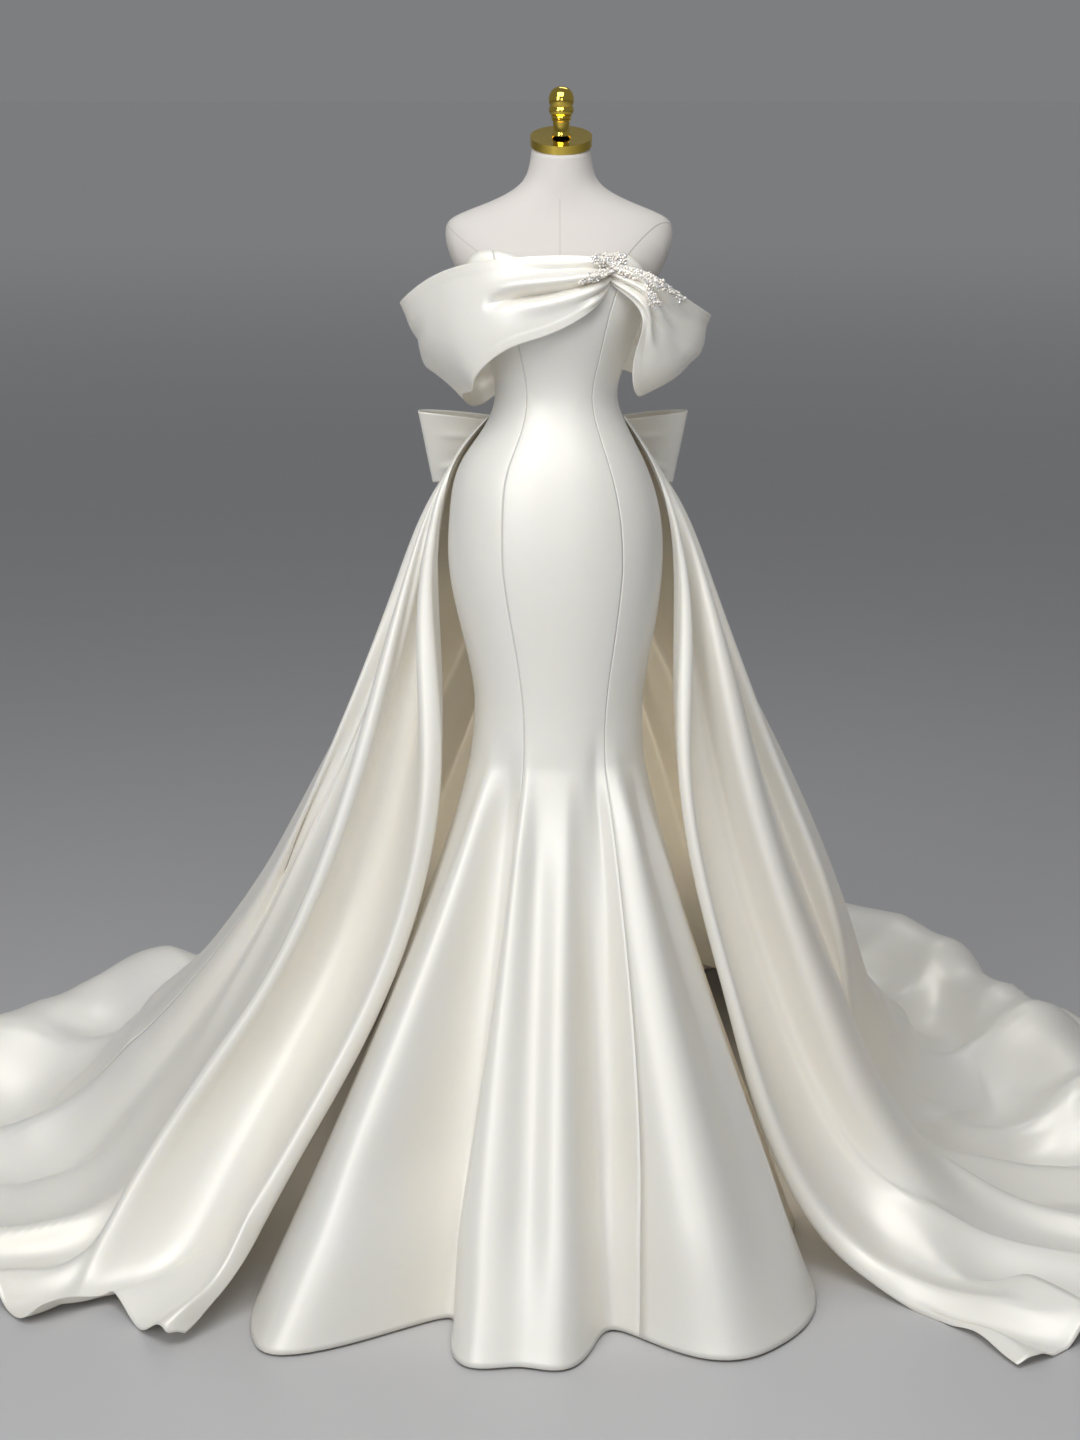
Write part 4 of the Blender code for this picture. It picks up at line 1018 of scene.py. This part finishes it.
def refined_copy(node, name, levels, finish):
    """A merged copy of a solid with its facets rounded off, its flat ends kept sharp."""
    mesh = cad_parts[node].data.copy()
    mesh.name = name
    mesh.materials.clear()
    mesh.materials.append(finish)
    piece = bpy.data.objects.new(name, mesh)
    bpy.context.scene.collection.objects.link(piece)
    only(piece)
    bpy.ops.object.mode_set(mode="EDIT")
    bpy.ops.mesh.select_all(action="SELECT")
    bpy.ops.mesh.remove_doubles(threshold=MERGE)
    bpy.ops.mesh.tris_convert_to_quads()
    bpy.ops.mesh.select_all(action="DESELECT")
    bpy.ops.object.mode_set(mode="OBJECT")
    low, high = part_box(node)
    for face in mesh.polygons:
        face.select = abs(face.normal.z) > END_FACING and not low.z + END_DEPTH < face.center.z < high.z - END_DEPTH
    bpy.ops.object.mode_set(mode="EDIT")
    bpy.ops.mesh.region_to_loop()
    bpy.ops.transform.edge_crease(value=1)
    bpy.ops.object.mode_set(mode="OBJECT")
    rounding = piece.modifiers.new("Rounding", "SUBSURF")
    rounding.levels = levels
    rounding.render_levels = levels
    bpy.ops.object.modifier_apply(modifier="Rounding")
    mesh.shade_smooth()
    return piece


def turned_finial(name, profile, foot, tilt, finish):
    """A turned piece drawn up from a ring through its profile, closed above and below."""
    bpy.ops.object.select_all(action="DESELECT")
    first = profile[0]
    bpy.ops.mesh.primitive_circle_add(
        vertices=FINIAL_SIDES, radius=first.radius, fill_type="NGON", location=foot
    )
    piece = bpy.context.object
    piece.name = piece.data.name = name
    bpy.ops.object.mode_set(mode="EDIT")
    bpy.ops.mesh.select_all(action="SELECT")
    for below, ring in zip(profile, profile[1:]):
        bpy.ops.mesh.extrude_region_move(TRANSFORM_OT_translate={"value": (0, 0, ring.height - below.height)})
        grow = ring.radius / below.radius
        bpy.ops.transform.resize(value=(grow, grow, 1), center_override=tuple(foot))
    bpy.ops.mesh.select_all(action="SELECT")
    bpy.ops.transform.rotate(
        value=math.radians(-tilt), orient_axis="X", orient_type="GLOBAL", center_override=tuple(foot)
    )
    bpy.ops.mesh.normals_make_consistent(inside=False)
    bpy.ops.object.mode_set(mode="OBJECT")
    bpy.ops.object.transform_apply(location=True, rotation=True, scale=True)
    bpy.ops.object.shade_smooth_by_angle(angle=math.radians(SMOOTH_DEGREES))
    piece.data.materials.append(finish)
    return piece


def socket(group, name, way, kind="NodeSocketFloat", value=None):
    made = group.interface.new_socket(name=name, in_out=way, socket_type=kind)
    if value is not None:
        made.default_value = value
    return made


def weave_group():
    """Fine threads along a piece's warp and a slow drift of shade over it, shared by all cloths."""
    name = "Cloth weave"
    if name in bpy.data.node_groups:
        return bpy.data.node_groups[name]
    group = bpy.data.node_groups.new(name, "ShaderNodeTree")
    socket(group, "Place", "INPUT", "NodeSocketVector")
    socket(group, "Threads", "INPUT", value=2200.0)
    socket(group, "Float", "INPUT", value=9.0)
    socket(group, "Drift", "INPUT", value=2.5)
    socket(group, "Height", "OUTPUT")
    socket(group, "Shade", "OUTPUT")
    nodes = group.nodes
    link = group.links.new
    ends = nodes.new("NodeGroupInput")
    out = nodes.new("NodeGroupOutput")
    axes = nodes.new("ShaderNodeSeparateXYZ")
    link(ends.outputs["Place"], axes.inputs[0])
    warp = nodes.new("ShaderNodeMath")
    warp.operation = "MULTIPLY"
    link(axes.outputs[0], warp.inputs[0])
    link(ends.outputs["Threads"], warp.inputs[1])
    weft = nodes.new("ShaderNodeMath")
    weft.operation = "DIVIDE"
    link(ends.outputs["Threads"], weft.inputs[0])
    link(ends.outputs["Float"], weft.inputs[1])
    along = nodes.new("ShaderNodeMath")
    along.operation = "MULTIPLY"
    link(axes.outputs[1], along.inputs[0])
    link(weft.outputs[0], along.inputs[1])
    joined = nodes.new("ShaderNodeCombineXYZ")
    link(warp.outputs[0], joined.inputs[0])
    link(along.outputs[0], joined.inputs[1])
    link(axes.outputs[2], joined.inputs[2])
    threads = nodes.new("ShaderNodeTexNoise")
    threads.inputs["Scale"].default_value = 1.0
    threads.inputs["Detail"].default_value = 1.0
    link(joined.outputs[0], threads.inputs["Vector"])
    drift = nodes.new("ShaderNodeTexNoise")
    drift.inputs["Detail"].default_value = 2.0
    link(ends.outputs["Place"], drift.inputs["Vector"])
    link(ends.outputs["Drift"], drift.inputs["Scale"])
    link(threads.outputs["Fac"], out.inputs["Height"])
    link(drift.outputs["Fac"], out.inputs["Shade"])
    return group


def cloth_material(name, light, shade, place, roughness, weave, relief, shine):
    """Woven cloth: a colour that drifts between two shades, thread relief, and a soft sheen."""
    made = bpy.data.materials.new(name)
    made.use_nodes = True
    nodes = made.node_tree.nodes
    link = made.node_tree.links.new
    shader = nodes["Principled BSDF"]
    if place == "weave map":
        source = nodes.new("ShaderNodeUVMap")
        source.uv_map = "Weave"
        spot = source.outputs["UV"]
    else:
        source = nodes.new("ShaderNodeTexCoord")
        spot = source.outputs["Object"]
    woven = nodes.new("ShaderNodeGroup")
    woven.node_tree = weave_group()
    woven.inputs["Threads"].default_value = weave.threads
    woven.inputs["Float"].default_value = weave.float
    woven.inputs["Drift"].default_value = weave.drift
    link(spot, woven.inputs["Place"])
    tint = nodes.new("ShaderNodeMix")
    tint.data_type = "RGBA"
    tint.inputs["A"].default_value = (*light, 1)
    tint.inputs["B"].default_value = (*shade, 1)
    link(woven.outputs["Shade"], tint.inputs["Factor"])
    link(tint.outputs["Result"], shader.inputs["Base Color"])
    rough = nodes.new("ShaderNodeMapRange")
    rough.inputs["To Min"].default_value = roughness - 0.04
    rough.inputs["To Max"].default_value = roughness + 0.04
    link(woven.outputs["Height"], rough.inputs["Value"])
    link(rough.outputs["Result"], shader.inputs["Roughness"])
    bump = nodes.new("ShaderNodeBump")
    bump.inputs["Strength"].default_value = relief
    bump.inputs["Distance"].default_value = 0.0004
    link(woven.outputs["Height"], bump.inputs["Height"])
    link(bump.outputs["Normal"], shader.inputs["Normal"])
    shader.inputs["Metallic"].default_value = shine.metallic
    shader.inputs["Subsurface Weight"].default_value = shine.glow
    shader.inputs["Subsurface Radius"].default_value = GLOW_REACH
    shader.inputs["Subsurface Scale"].default_value = GLOW_SCALE
    shader.inputs["Sheen Weight"].default_value = shine.sheen
    shader.inputs["Sheen Roughness"].default_value = 0.45
    shader.inputs["Specular IOR Level"].default_value = 0.6
    return made


def seam_group():
    """A fine sewn line where a plane crosses a surface, as a mask that is 1 on the line."""
    name = "Sewn line"
    if name in bpy.data.node_groups:
        return bpy.data.node_groups[name]
    group = bpy.data.node_groups.new(name, "ShaderNodeTree")
    socket(group, "Place", "INPUT", "NodeSocketVector")
    socket(group, "Point", "INPUT", "NodeSocketVector")
    socket(group, "Normal", "INPUT", "NodeSocketVector")
    socket(group, "Width", "INPUT", value=0.001)
    socket(group, "Side", "INPUT", value=0.0)
    socket(group, "Top", "INPUT", value=2.0)
    socket(group, "Line", "OUTPUT")
    nodes = group.nodes
    link = group.links.new
    ends = nodes.new("NodeGroupInput")
    out = nodes.new("NodeGroupOutput")
    away = nodes.new("ShaderNodeVectorMath")
    away.operation = "SUBTRACT"
    link(ends.outputs["Place"], away.inputs[0])
    link(ends.outputs["Point"], away.inputs[1])
    across = nodes.new("ShaderNodeVectorMath")
    across.operation = "DOT_PRODUCT"
    link(away.outputs[0], across.inputs[0])
    link(ends.outputs["Normal"], across.inputs[1])
    size = nodes.new("ShaderNodeMath")
    size.operation = "ABSOLUTE"
    link(across.outputs["Value"], size.inputs[0])
    near = nodes.new("ShaderNodeMapRange")
    near.interpolation_type = "SMOOTHSTEP"
    near.inputs["To Min"].default_value = 1.0
    near.inputs["To Max"].default_value = 0.0
    link(size.outputs[0], near.inputs["Value"])
    link(ends.outputs["Width"], near.inputs["From Max"])
    axes = nodes.new("ShaderNodeSeparateXYZ")
    link(ends.outputs["Place"], axes.inputs[0])
    low = nodes.new("ShaderNodeMath")
    low.operation = "LESS_THAN"
    link(axes.outputs[2], low.inputs[0])
    link(ends.outputs["Top"], low.inputs[1])
    below = nodes.new("ShaderNodeMath")
    below.operation = "MULTIPLY"
    link(near.outputs["Result"], below.inputs[0])
    link(low.outputs[0], below.inputs[1])
    sided = nodes.new("ShaderNodeMath")
    sided.operation = "MULTIPLY"
    link(axes.outputs[0], sided.inputs[0])
    link(ends.outputs["Side"], sided.inputs[1])
    there = nodes.new("ShaderNodeMath")
    there.operation = "GREATER_THAN"
    there.inputs[1].default_value = -0.001
    link(sided.outputs[0], there.inputs[0])
    kept = nodes.new("ShaderNodeMath")
    kept.operation = "MULTIPLY"
    link(below.outputs[0], kept.inputs[0])
    link(there.outputs[0], kept.inputs[1])
    link(kept.outputs[0], out.inputs["Line"])
    return group


def draw_form_seams(linen, colours):
    """Draws the form's seams in its cover, as fine darker lines that sink in a little."""
    nodes = linen.node_tree.nodes
    link = linen.node_tree.links.new
    source = next(node for node in nodes if node.type == "TEX_COORD")
    bump = next(node for node in nodes if node.type == "BUMP")
    tint = next(node for node in nodes if node.type == "MIX")
    shader = nodes["Principled BSDF"]
    total = None
    for seam in FORM_SEAMS:
        line = nodes.new("ShaderNodeGroup")
        line.node_tree = seam_group()
        line.inputs["Point"].default_value = seam.point
        line.inputs["Normal"].default_value = Vector(seam.normal).normalized()
        line.inputs["Width"].default_value = seam.width
        line.inputs["Side"].default_value = seam.side
        line.inputs["Top"].default_value = seam.top
        link(source.outputs["Object"], line.inputs["Place"])
        if total is None:
            total = line.outputs["Line"]
            continue
        both = nodes.new("ShaderNodeMath")
        both.operation = "MAXIMUM"
        link(total, both.inputs[0])
        link(line.outputs["Line"], both.inputs[1])
        total = both.outputs[0]
    darker = nodes.new("ShaderNodeMix")
    darker.data_type = "RGBA"
    darker.inputs["B"].default_value = (*colours.seam_line, 1)
    link(total, darker.inputs["Factor"])
    link(tint.outputs["Result"], darker.inputs["A"])
    link(darker.outputs["Result"], shader.inputs["Base Color"])
    sunk = nodes.new("ShaderNodeMath")
    sunk.operation = "SUBTRACT"
    link(bump.inputs["Height"].links[0].from_socket, sunk.inputs[0])
    link(total, sunk.inputs[1])
    link(sunk.outputs[0], bump.inputs["Height"])


def plain_material(name, colour, roughness, metallic, spread, coat=0.0):
    """A hard finish whose roughness varies a little over the surface."""
    made = bpy.data.materials.new(name)
    made.use_nodes = True
    nodes = made.node_tree.nodes
    link = made.node_tree.links.new
    shader = nodes["Principled BSDF"]
    source = nodes.new("ShaderNodeTexCoord")
    haze = nodes.new("ShaderNodeTexNoise")
    haze.inputs["Scale"].default_value = HAZE_SCALE
    haze.inputs["Detail"].default_value = 3.0
    link(source.outputs["Object"], haze.inputs["Vector"])
    rough = nodes.new("ShaderNodeMapRange")
    rough.inputs["To Min"].default_value = max(roughness - spread, 0.02)
    rough.inputs["To Max"].default_value = roughness + spread
    link(haze.outputs["Fac"], rough.inputs["Value"])
    link(rough.outputs["Result"], shader.inputs["Roughness"])
    shader.inputs["Base Color"].default_value = (*colour, 1)
    shader.inputs["Metallic"].default_value = metallic
    shader.inputs["Coat Weight"].default_value = coat
    return made


def floor_material(colour):
    """The plain floor, with painted light: its colour turns as pale as the air far away, where the lamps don't
    reach.
    """
    made = plain_material("Studio floor", colour, 0.45, 0.0, 0.05)
    nodes = made.node_tree.nodes
    link = made.node_tree.links.new
    # Painted light: the floor's colour is mixed from its own towards a pale far colour as the distance grows.
    source = nodes.new("ShaderNodeTexCoord")
    distance = nodes.new("ShaderNodeVectorMath")
    distance.operation = "LENGTH"
    link(source.outputs["Object"], distance.inputs[0])
    fade = nodes.new("ShaderNodeMapRange")
    fade.interpolation_type = "SMOOTHSTEP"
    fade.inputs["From Min"].default_value = FLOOR_PAINTED_LIGHT_SPAN[0]
    fade.inputs["From Max"].default_value = FLOOR_PAINTED_LIGHT_SPAN[1]
    link(distance.outputs["Value"], fade.inputs["Value"])
    shade = nodes.new("ShaderNodeMix")
    shade.data_type = "RGBA"
    shade.inputs["A"].default_value = (*colour, 1)
    shade.inputs["B"].default_value = (*FLOOR_FAR_PAINTED_LIGHT, 1)
    link(fade.outputs["Result"], shade.inputs["Factor"])
    link(shade.outputs["Result"], nodes["Principled BSDF"].inputs["Base Color"])
    return made


def satin(colours):
    found = bpy.data.materials.get("Ivory satin weave")
    return found or cloth_material(
        "Ivory satin weave", colours.satin, colours.satin_shade, "weave map", 0.44, SATIN_WEAVE, 0.20, SATIN_SHINE
    )


class GownSizes(PropertyGroup):
    """Sizes of the cloth's fine shape."""

    fold_strength: FloatProperty(
        name="Fold strength", description="How strongly the hand-placed creases show",
        default=1.0, min=0, max=2, subtype="FACTOR",
    )
    unevenness: FloatProperty(
        name="Unevenness", description="Height of the slow random swell of hanging cloth",
        default=0.0015, unit="LENGTH",
    )
    seam_depth: FloatProperty(
        name="Seam depth", description="How far the cloth sinks at a sewn seam",
        default=0.0002, unit="LENGTH",
    )
    seam_width: FloatProperty(
        name="Seam width", description="How far from a seam the cloth sinks",
        default=0.0035, unit="LENGTH",
    )
    pucker: FloatProperty(
        name="Pucker", description="Height of the small ripples along a seam",
        default=0.0001, unit="LENGTH",
    )
    hem_depth: FloatProperty(
        name="Hem depth", description="How far a turned hem stands proud",
        default=0.0006, unit="LENGTH",
    )
    bead_size: FloatProperty(
        name="Bead size", description="Diameter of a middling pearl",
        default=0.0046, unit="LENGTH",
    )
    crystal_share: FloatProperty(
        name="Crystal share", description="Share of the beads that are cut crystals",
        default=0.35, min=0, max=1, subtype="FACTOR",
    )
    refining: IntProperty(
        name="Refining", description="Subdivisions of the form and the finial",
        default=2, min=1, max=3,
    )


class GownColours(PropertyGroup):
    """Colours of the finishes and of the floor."""

    satin: FloatVectorProperty(
        name="Satin", description="Ivory satin in the light", subtype="COLOR", default=(0.88, 0.86, 0.815),
    )
    satin_shade: FloatVectorProperty(
        name="Satin shade", description="The satin's second, warmer shade",
        subtype="COLOR", default=(0.85, 0.80, 0.70),
    )
    linen: FloatVectorProperty(
        name="Linen", description="The form's fabric cover", subtype="COLOR", default=(0.64, 0.61, 0.58),
    )
    linen_shade: FloatVectorProperty(
        name="Linen shade", description="The cover's second shade", subtype="COLOR", default=(0.60, 0.57, 0.54),
    )
    seam_line: FloatVectorProperty(
        name="Seam line", description="The form's seams", subtype="COLOR", default=(0.36, 0.33, 0.30),
    )
    gold: FloatVectorProperty(
        name="Gold", description="Polished neck plate and finial", subtype="COLOR", default=(0.76, 0.56, 0.10),
    )
    pearl: FloatVectorProperty(
        name="Pearl", description="Pearl beads", subtype="COLOR", default=(0.90, 0.86, 0.80),
    )
    crystal: FloatVectorProperty(
        name="Crystal", description="Cut crystal beads", subtype="COLOR", default=(0.93, 0.93, 0.95),
    )
    lacquer: FloatVectorProperty(
        name="Lacquer", description="The stand's finish", subtype="COLOR", default=(0.62, 0.60, 0.56),
    )
    floor: FloatVectorProperty(
        name="Floor", description="The plain floor", subtype="COLOR", default=(0.52, 0.52, 0.53),
    )


class GownOperator(Operator):
    """What the gown's operators share."""

    bl_options = {"REGISTER", "UNDO"}

    def execute(self, context):
        self.build(context, context.scene.gown_sizes, context.scene.gown_colours)
        return {"FINISHED"}


class GOWN_OT_sew_gown(GownOperator):
    """Sews the seven panels of the gown"""

    bl_idname = "gown.sew_gown"
    bl_label = "Sew the gown"

    def build(self, context, sizes, colours):
        for panel in PANELS:
            sew_panel(panel, sizes, satin(colours))


class GOWN_OT_hang_overskirt(GownOperator):
    """Hangs the four gores of the overskirt from the back waist"""

    bl_idname = "gown.hang_overskirt"
    bl_label = "Hang the overskirt"

    def build(self, context, sizes, colours):
        left = overskirt_side(LEFT_PLEATS, LEFT_FALLS, LEFT_CREASES, sizes)
        right = overskirt_side(RIGHT_PLEATS, RIGHT_FALLS, RIGHT_CREASES, sizes)
        join_centre_back(left, right)
        hang_gores("left", left, sizes, satin(colours))
        hang_gores("right", right, sizes, satin(colours))


class GOWN_OT_wrap_drapes(GownOperator):
    """Wraps the bust drape and the sleeve loop round the arms"""

    bl_idname = "gown.wrap_drapes"
    bl_label = "Wrap the drapes"

    def build(self, context, sizes, colours):
        for drape in DRAPES:
            wrap_drape(drape, sizes, satin(colours))


class GOWN_OT_tie_bow(GownOperator):
    """Ties the flat bow at the back waist"""

    bl_idname = "gown.tie_bow"
    bl_label = "Tie the bow"

    def build(self, context, sizes, colours):
        low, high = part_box("bow_knot")
        middle = (low.y + high.y) / 2
        for loop in BOW_LOOPS:
            bow_loop(loop, middle, sizes, satin(colours))
        bow_knot(middle, sizes, satin(colours))


class GOWN_OT_sew_beads(GownOperator):
    """Sews pearls and crystals over the gathers at the bust"""

    bl_idname = "gown.sew_beads"
    bl_label = "Sew on the beads"

    def build(self, context, sizes, colours):
        context.view_layer.update()
        depsgraph = context.evaluated_depsgraph_get()
        cloths = [bpy.data.objects[name] for name in BEADS_LIE_ON]
        trees = [BVHTree.FromObject(cloth, depsgraph) for cloth in cloths]
        places = bead_places(trees, sizes.bead_size * 0.72)
        crystals = places[::round(1 / max(sizes.crystal_share, 0.01))]
        pearls = [place for place in places if place not in crystals]
        shine = plain_material("Pearl lustre", colours.pearl, 0.22, 0.0, 0.05, coat=0.6)
        glint = plain_material("Cut crystal", colours.crystal, 0.06, 0.55, 0.02, coat=1.0)
        hand_over(string_beads("motif_pearls", "pearl", pearls, sizes, shine), "beads", "bead_motif")
        hand_over(string_beads("motif_crystals", "crystal", crystals, sizes, glint), "beads")


class GOWN_OT_cover_form(GownOperator):
    """Covers the form in linen and scores its seams"""

    bl_idname = "gown.cover_form"
    bl_label = "Cover the form"

    def build(self, context, sizes, colours):
        linen = cloth_material(
            "Form linen weave", colours.linen, colours.linen_shade, "object", 0.72, LINEN_WEAVE, 0.25, LINEN_SHINE
        )
        draw_form_seams(linen, colours)
        form = refined_copy("form_torso", "form_torso_cover", sizes.refining, linen)
        hand_over(form, "form_cover", "form_torso")


class GOWN_OT_cap_neck(GownOperator):
    """Puts the gold plate and finial on the neck and lacquers the stand"""

    bl_idname = "gown.cap_neck"
    bl_label = "Cap the neck"

    def build(self, context, sizes, colours):
        gold = plain_material("Polished gold plate", colours.gold, 0.09, 1.0, 0.03)
        low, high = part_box("neck_finial")
        lean = math.radians(FINIAL_TILT)
        tip = FINIAL[-1].height
        foot = (low + high) / 2 - Vector((0, -math.sin(lean), math.cos(lean))) * tip / 2
        finial = turned_finial("neck_finial_turned", FINIAL, foot, FINIAL_TILT, gold)
        hand_over(finial, "gold", "neck_finial")
        low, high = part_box("neck_disc")
        bpy.ops.object.select_all(action="DESELECT")
        bpy.ops.mesh.primitive_cylinder_add(
            vertices=DISC_SIDES, radius=DISC_RADIUS, depth=DISC_THICK, location=(low + high) / 2,
            rotation=(math.radians(DISC_TILT), 0, 0),
        )
        disc = context.object
        disc.name = disc.data.name = "neck_disc_turned"
        bpy.ops.object.transform_apply(location=True, rotation=True, scale=True)
        bpy.ops.object.mode_set(mode="EDIT")
        bpy.ops.mesh.select_all(action="DESELECT")
        bpy.ops.object.mode_set(mode="OBJECT")
        for face in disc.data.polygons:
            face.select = len(face.vertices) > 4
        bpy.ops.object.mode_set(mode="EDIT")
        bpy.ops.mesh.region_to_loop()
        bpy.ops.mesh.bevel(offset=DISC_EDGE, segments=3, affect="EDGES")
        bpy.ops.object.mode_set(mode="OBJECT")
        bpy.ops.object.shade_smooth_by_angle(angle=math.radians(SMOOTH_DEGREES))
        disc.data.materials.append(gold)
        hand_over(disc, "gold", "neck_disc")
        lacquer = plain_material("Stand lacquer coat", colours.lacquer, 0.4, 0.0, 0.05, coat=0.3)
        for node in ("stand_pole", "stand_base"):
            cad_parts[node].material_slots[0].material = lacquer


class GOWN_OT_set_stage(GownOperator):
    """Sets the plain floor, the soft studio light and the camera"""

    bl_idname = "gown.set_stage"
    bl_label = "Set the stage"

    def build(self, context, sizes, colours):
        scene = context.scene
        bpy.ops.object.select_all(action="DESELECT")
        bpy.ops.mesh.primitive_plane_add(size=FLOOR_SIZE)
        floor = context.object
        floor.name = "studio_floor"
        floor.data.materials.append(floor_material(colours.floor))
        for lamp in LAMPS:
            light = bpy.data.lights.new(lamp.name, "AREA")
            light.shape = "RECTANGLE"
            light.size = lamp.wide
            light.size_y = lamp.tall
            light.energy = lamp.watts
            light.color = (lamp.red, 1.0, lamp.blue)
            stand = bpy.data.objects.new(lamp.name, light)
            stand.location = (lamp.x, lamp.y, lamp.z)
            aim = Vector((0, 0, lamp.aim_z)) - stand.location
            stand.rotation_euler = aim.to_track_quat("-Z", "Y").to_euler()
            scene.collection.objects.link(stand)
        for place in TRAIN_LAMPS:
            light = bpy.data.lights.new("Train lamp", "POINT")
            light.shadow_soft_size = TRAIN_LAMP_SIZE
            light.energy = TRAIN_LAMP_WATTS
            light.color = TRAIN_LAMP_COLOUR
            stand = bpy.data.objects.new("Train lamp", light)
            stand.location = place
            scene.collection.objects.link(stand)
        world = bpy.data.worlds.new("Studio air")
        world.use_nodes = True
        air = world.node_tree.nodes["Background"]
        air.inputs["Color"].default_value = (*AIR_COLOUR, 1)
        air.inputs["Strength"].default_value = AIR_STRENGTH
        scene.world = world
        camera = bpy.data.cameras.new("Photo camera")
        camera.sensor_fit = "VERTICAL"
        camera.sensor_height = CAMERA_SENSOR
        camera.lens = CAMERA_LENS
        eye = bpy.data.objects.new("Photo camera", camera)
        eye.location = CAMERA_PLACE
        eye.rotation_euler = (math.radians(90 - CAMERA_TILT), 0, 0)
        scene.collection.objects.link(eye)
        scene.camera = eye
        scene.view_settings.view_transform = "Standard"


class GOWN_PT_steps(Panel):
    """Lists the steps and the sizes and colours they use"""

    bl_idname = "GOWN_PT_steps"
    bl_label = "Mermaid gown"
    bl_space_type = "VIEW_3D"
    bl_region_type = "UI"
    bl_category = "Gown"

    def draw(self, context):
        for step in STEPS:
            self.layout.operator(step.bl_idname)
        for group in (context.scene.gown_sizes, context.scene.gown_colours):
            box = self.layout.box()
            for name in group.__annotations__:
                box.prop(group, name)


STEPS = (
    GOWN_OT_set_stage,
    GOWN_OT_cover_form,
    GOWN_OT_cap_neck,
    GOWN_OT_sew_gown,
    GOWN_OT_hang_overskirt,
    GOWN_OT_wrap_drapes,
    GOWN_OT_tie_bow,
    GOWN_OT_sew_beads,
)
CLASSES = (GownSizes, GownColours, *STEPS, GOWN_PT_steps)


def register():
    for made in CLASSES:
        bpy.utils.register_class(made)
    bpy.types.Scene.gown_sizes = PointerProperty(type=GownSizes)
    bpy.types.Scene.gown_colours = PointerProperty(type=GownColours)


def unregister():
    del bpy.types.Scene.gown_colours
    del bpy.types.Scene.gown_sizes
    for made in reversed(CLASSES):
        bpy.utils.unregister_class(made)


def main():
    register()
    for step in STEPS:
        family, name = step.bl_idname.split(".")
        getattr(getattr(bpy.ops, family), name)()


if __name__ == "__main__":
    main()
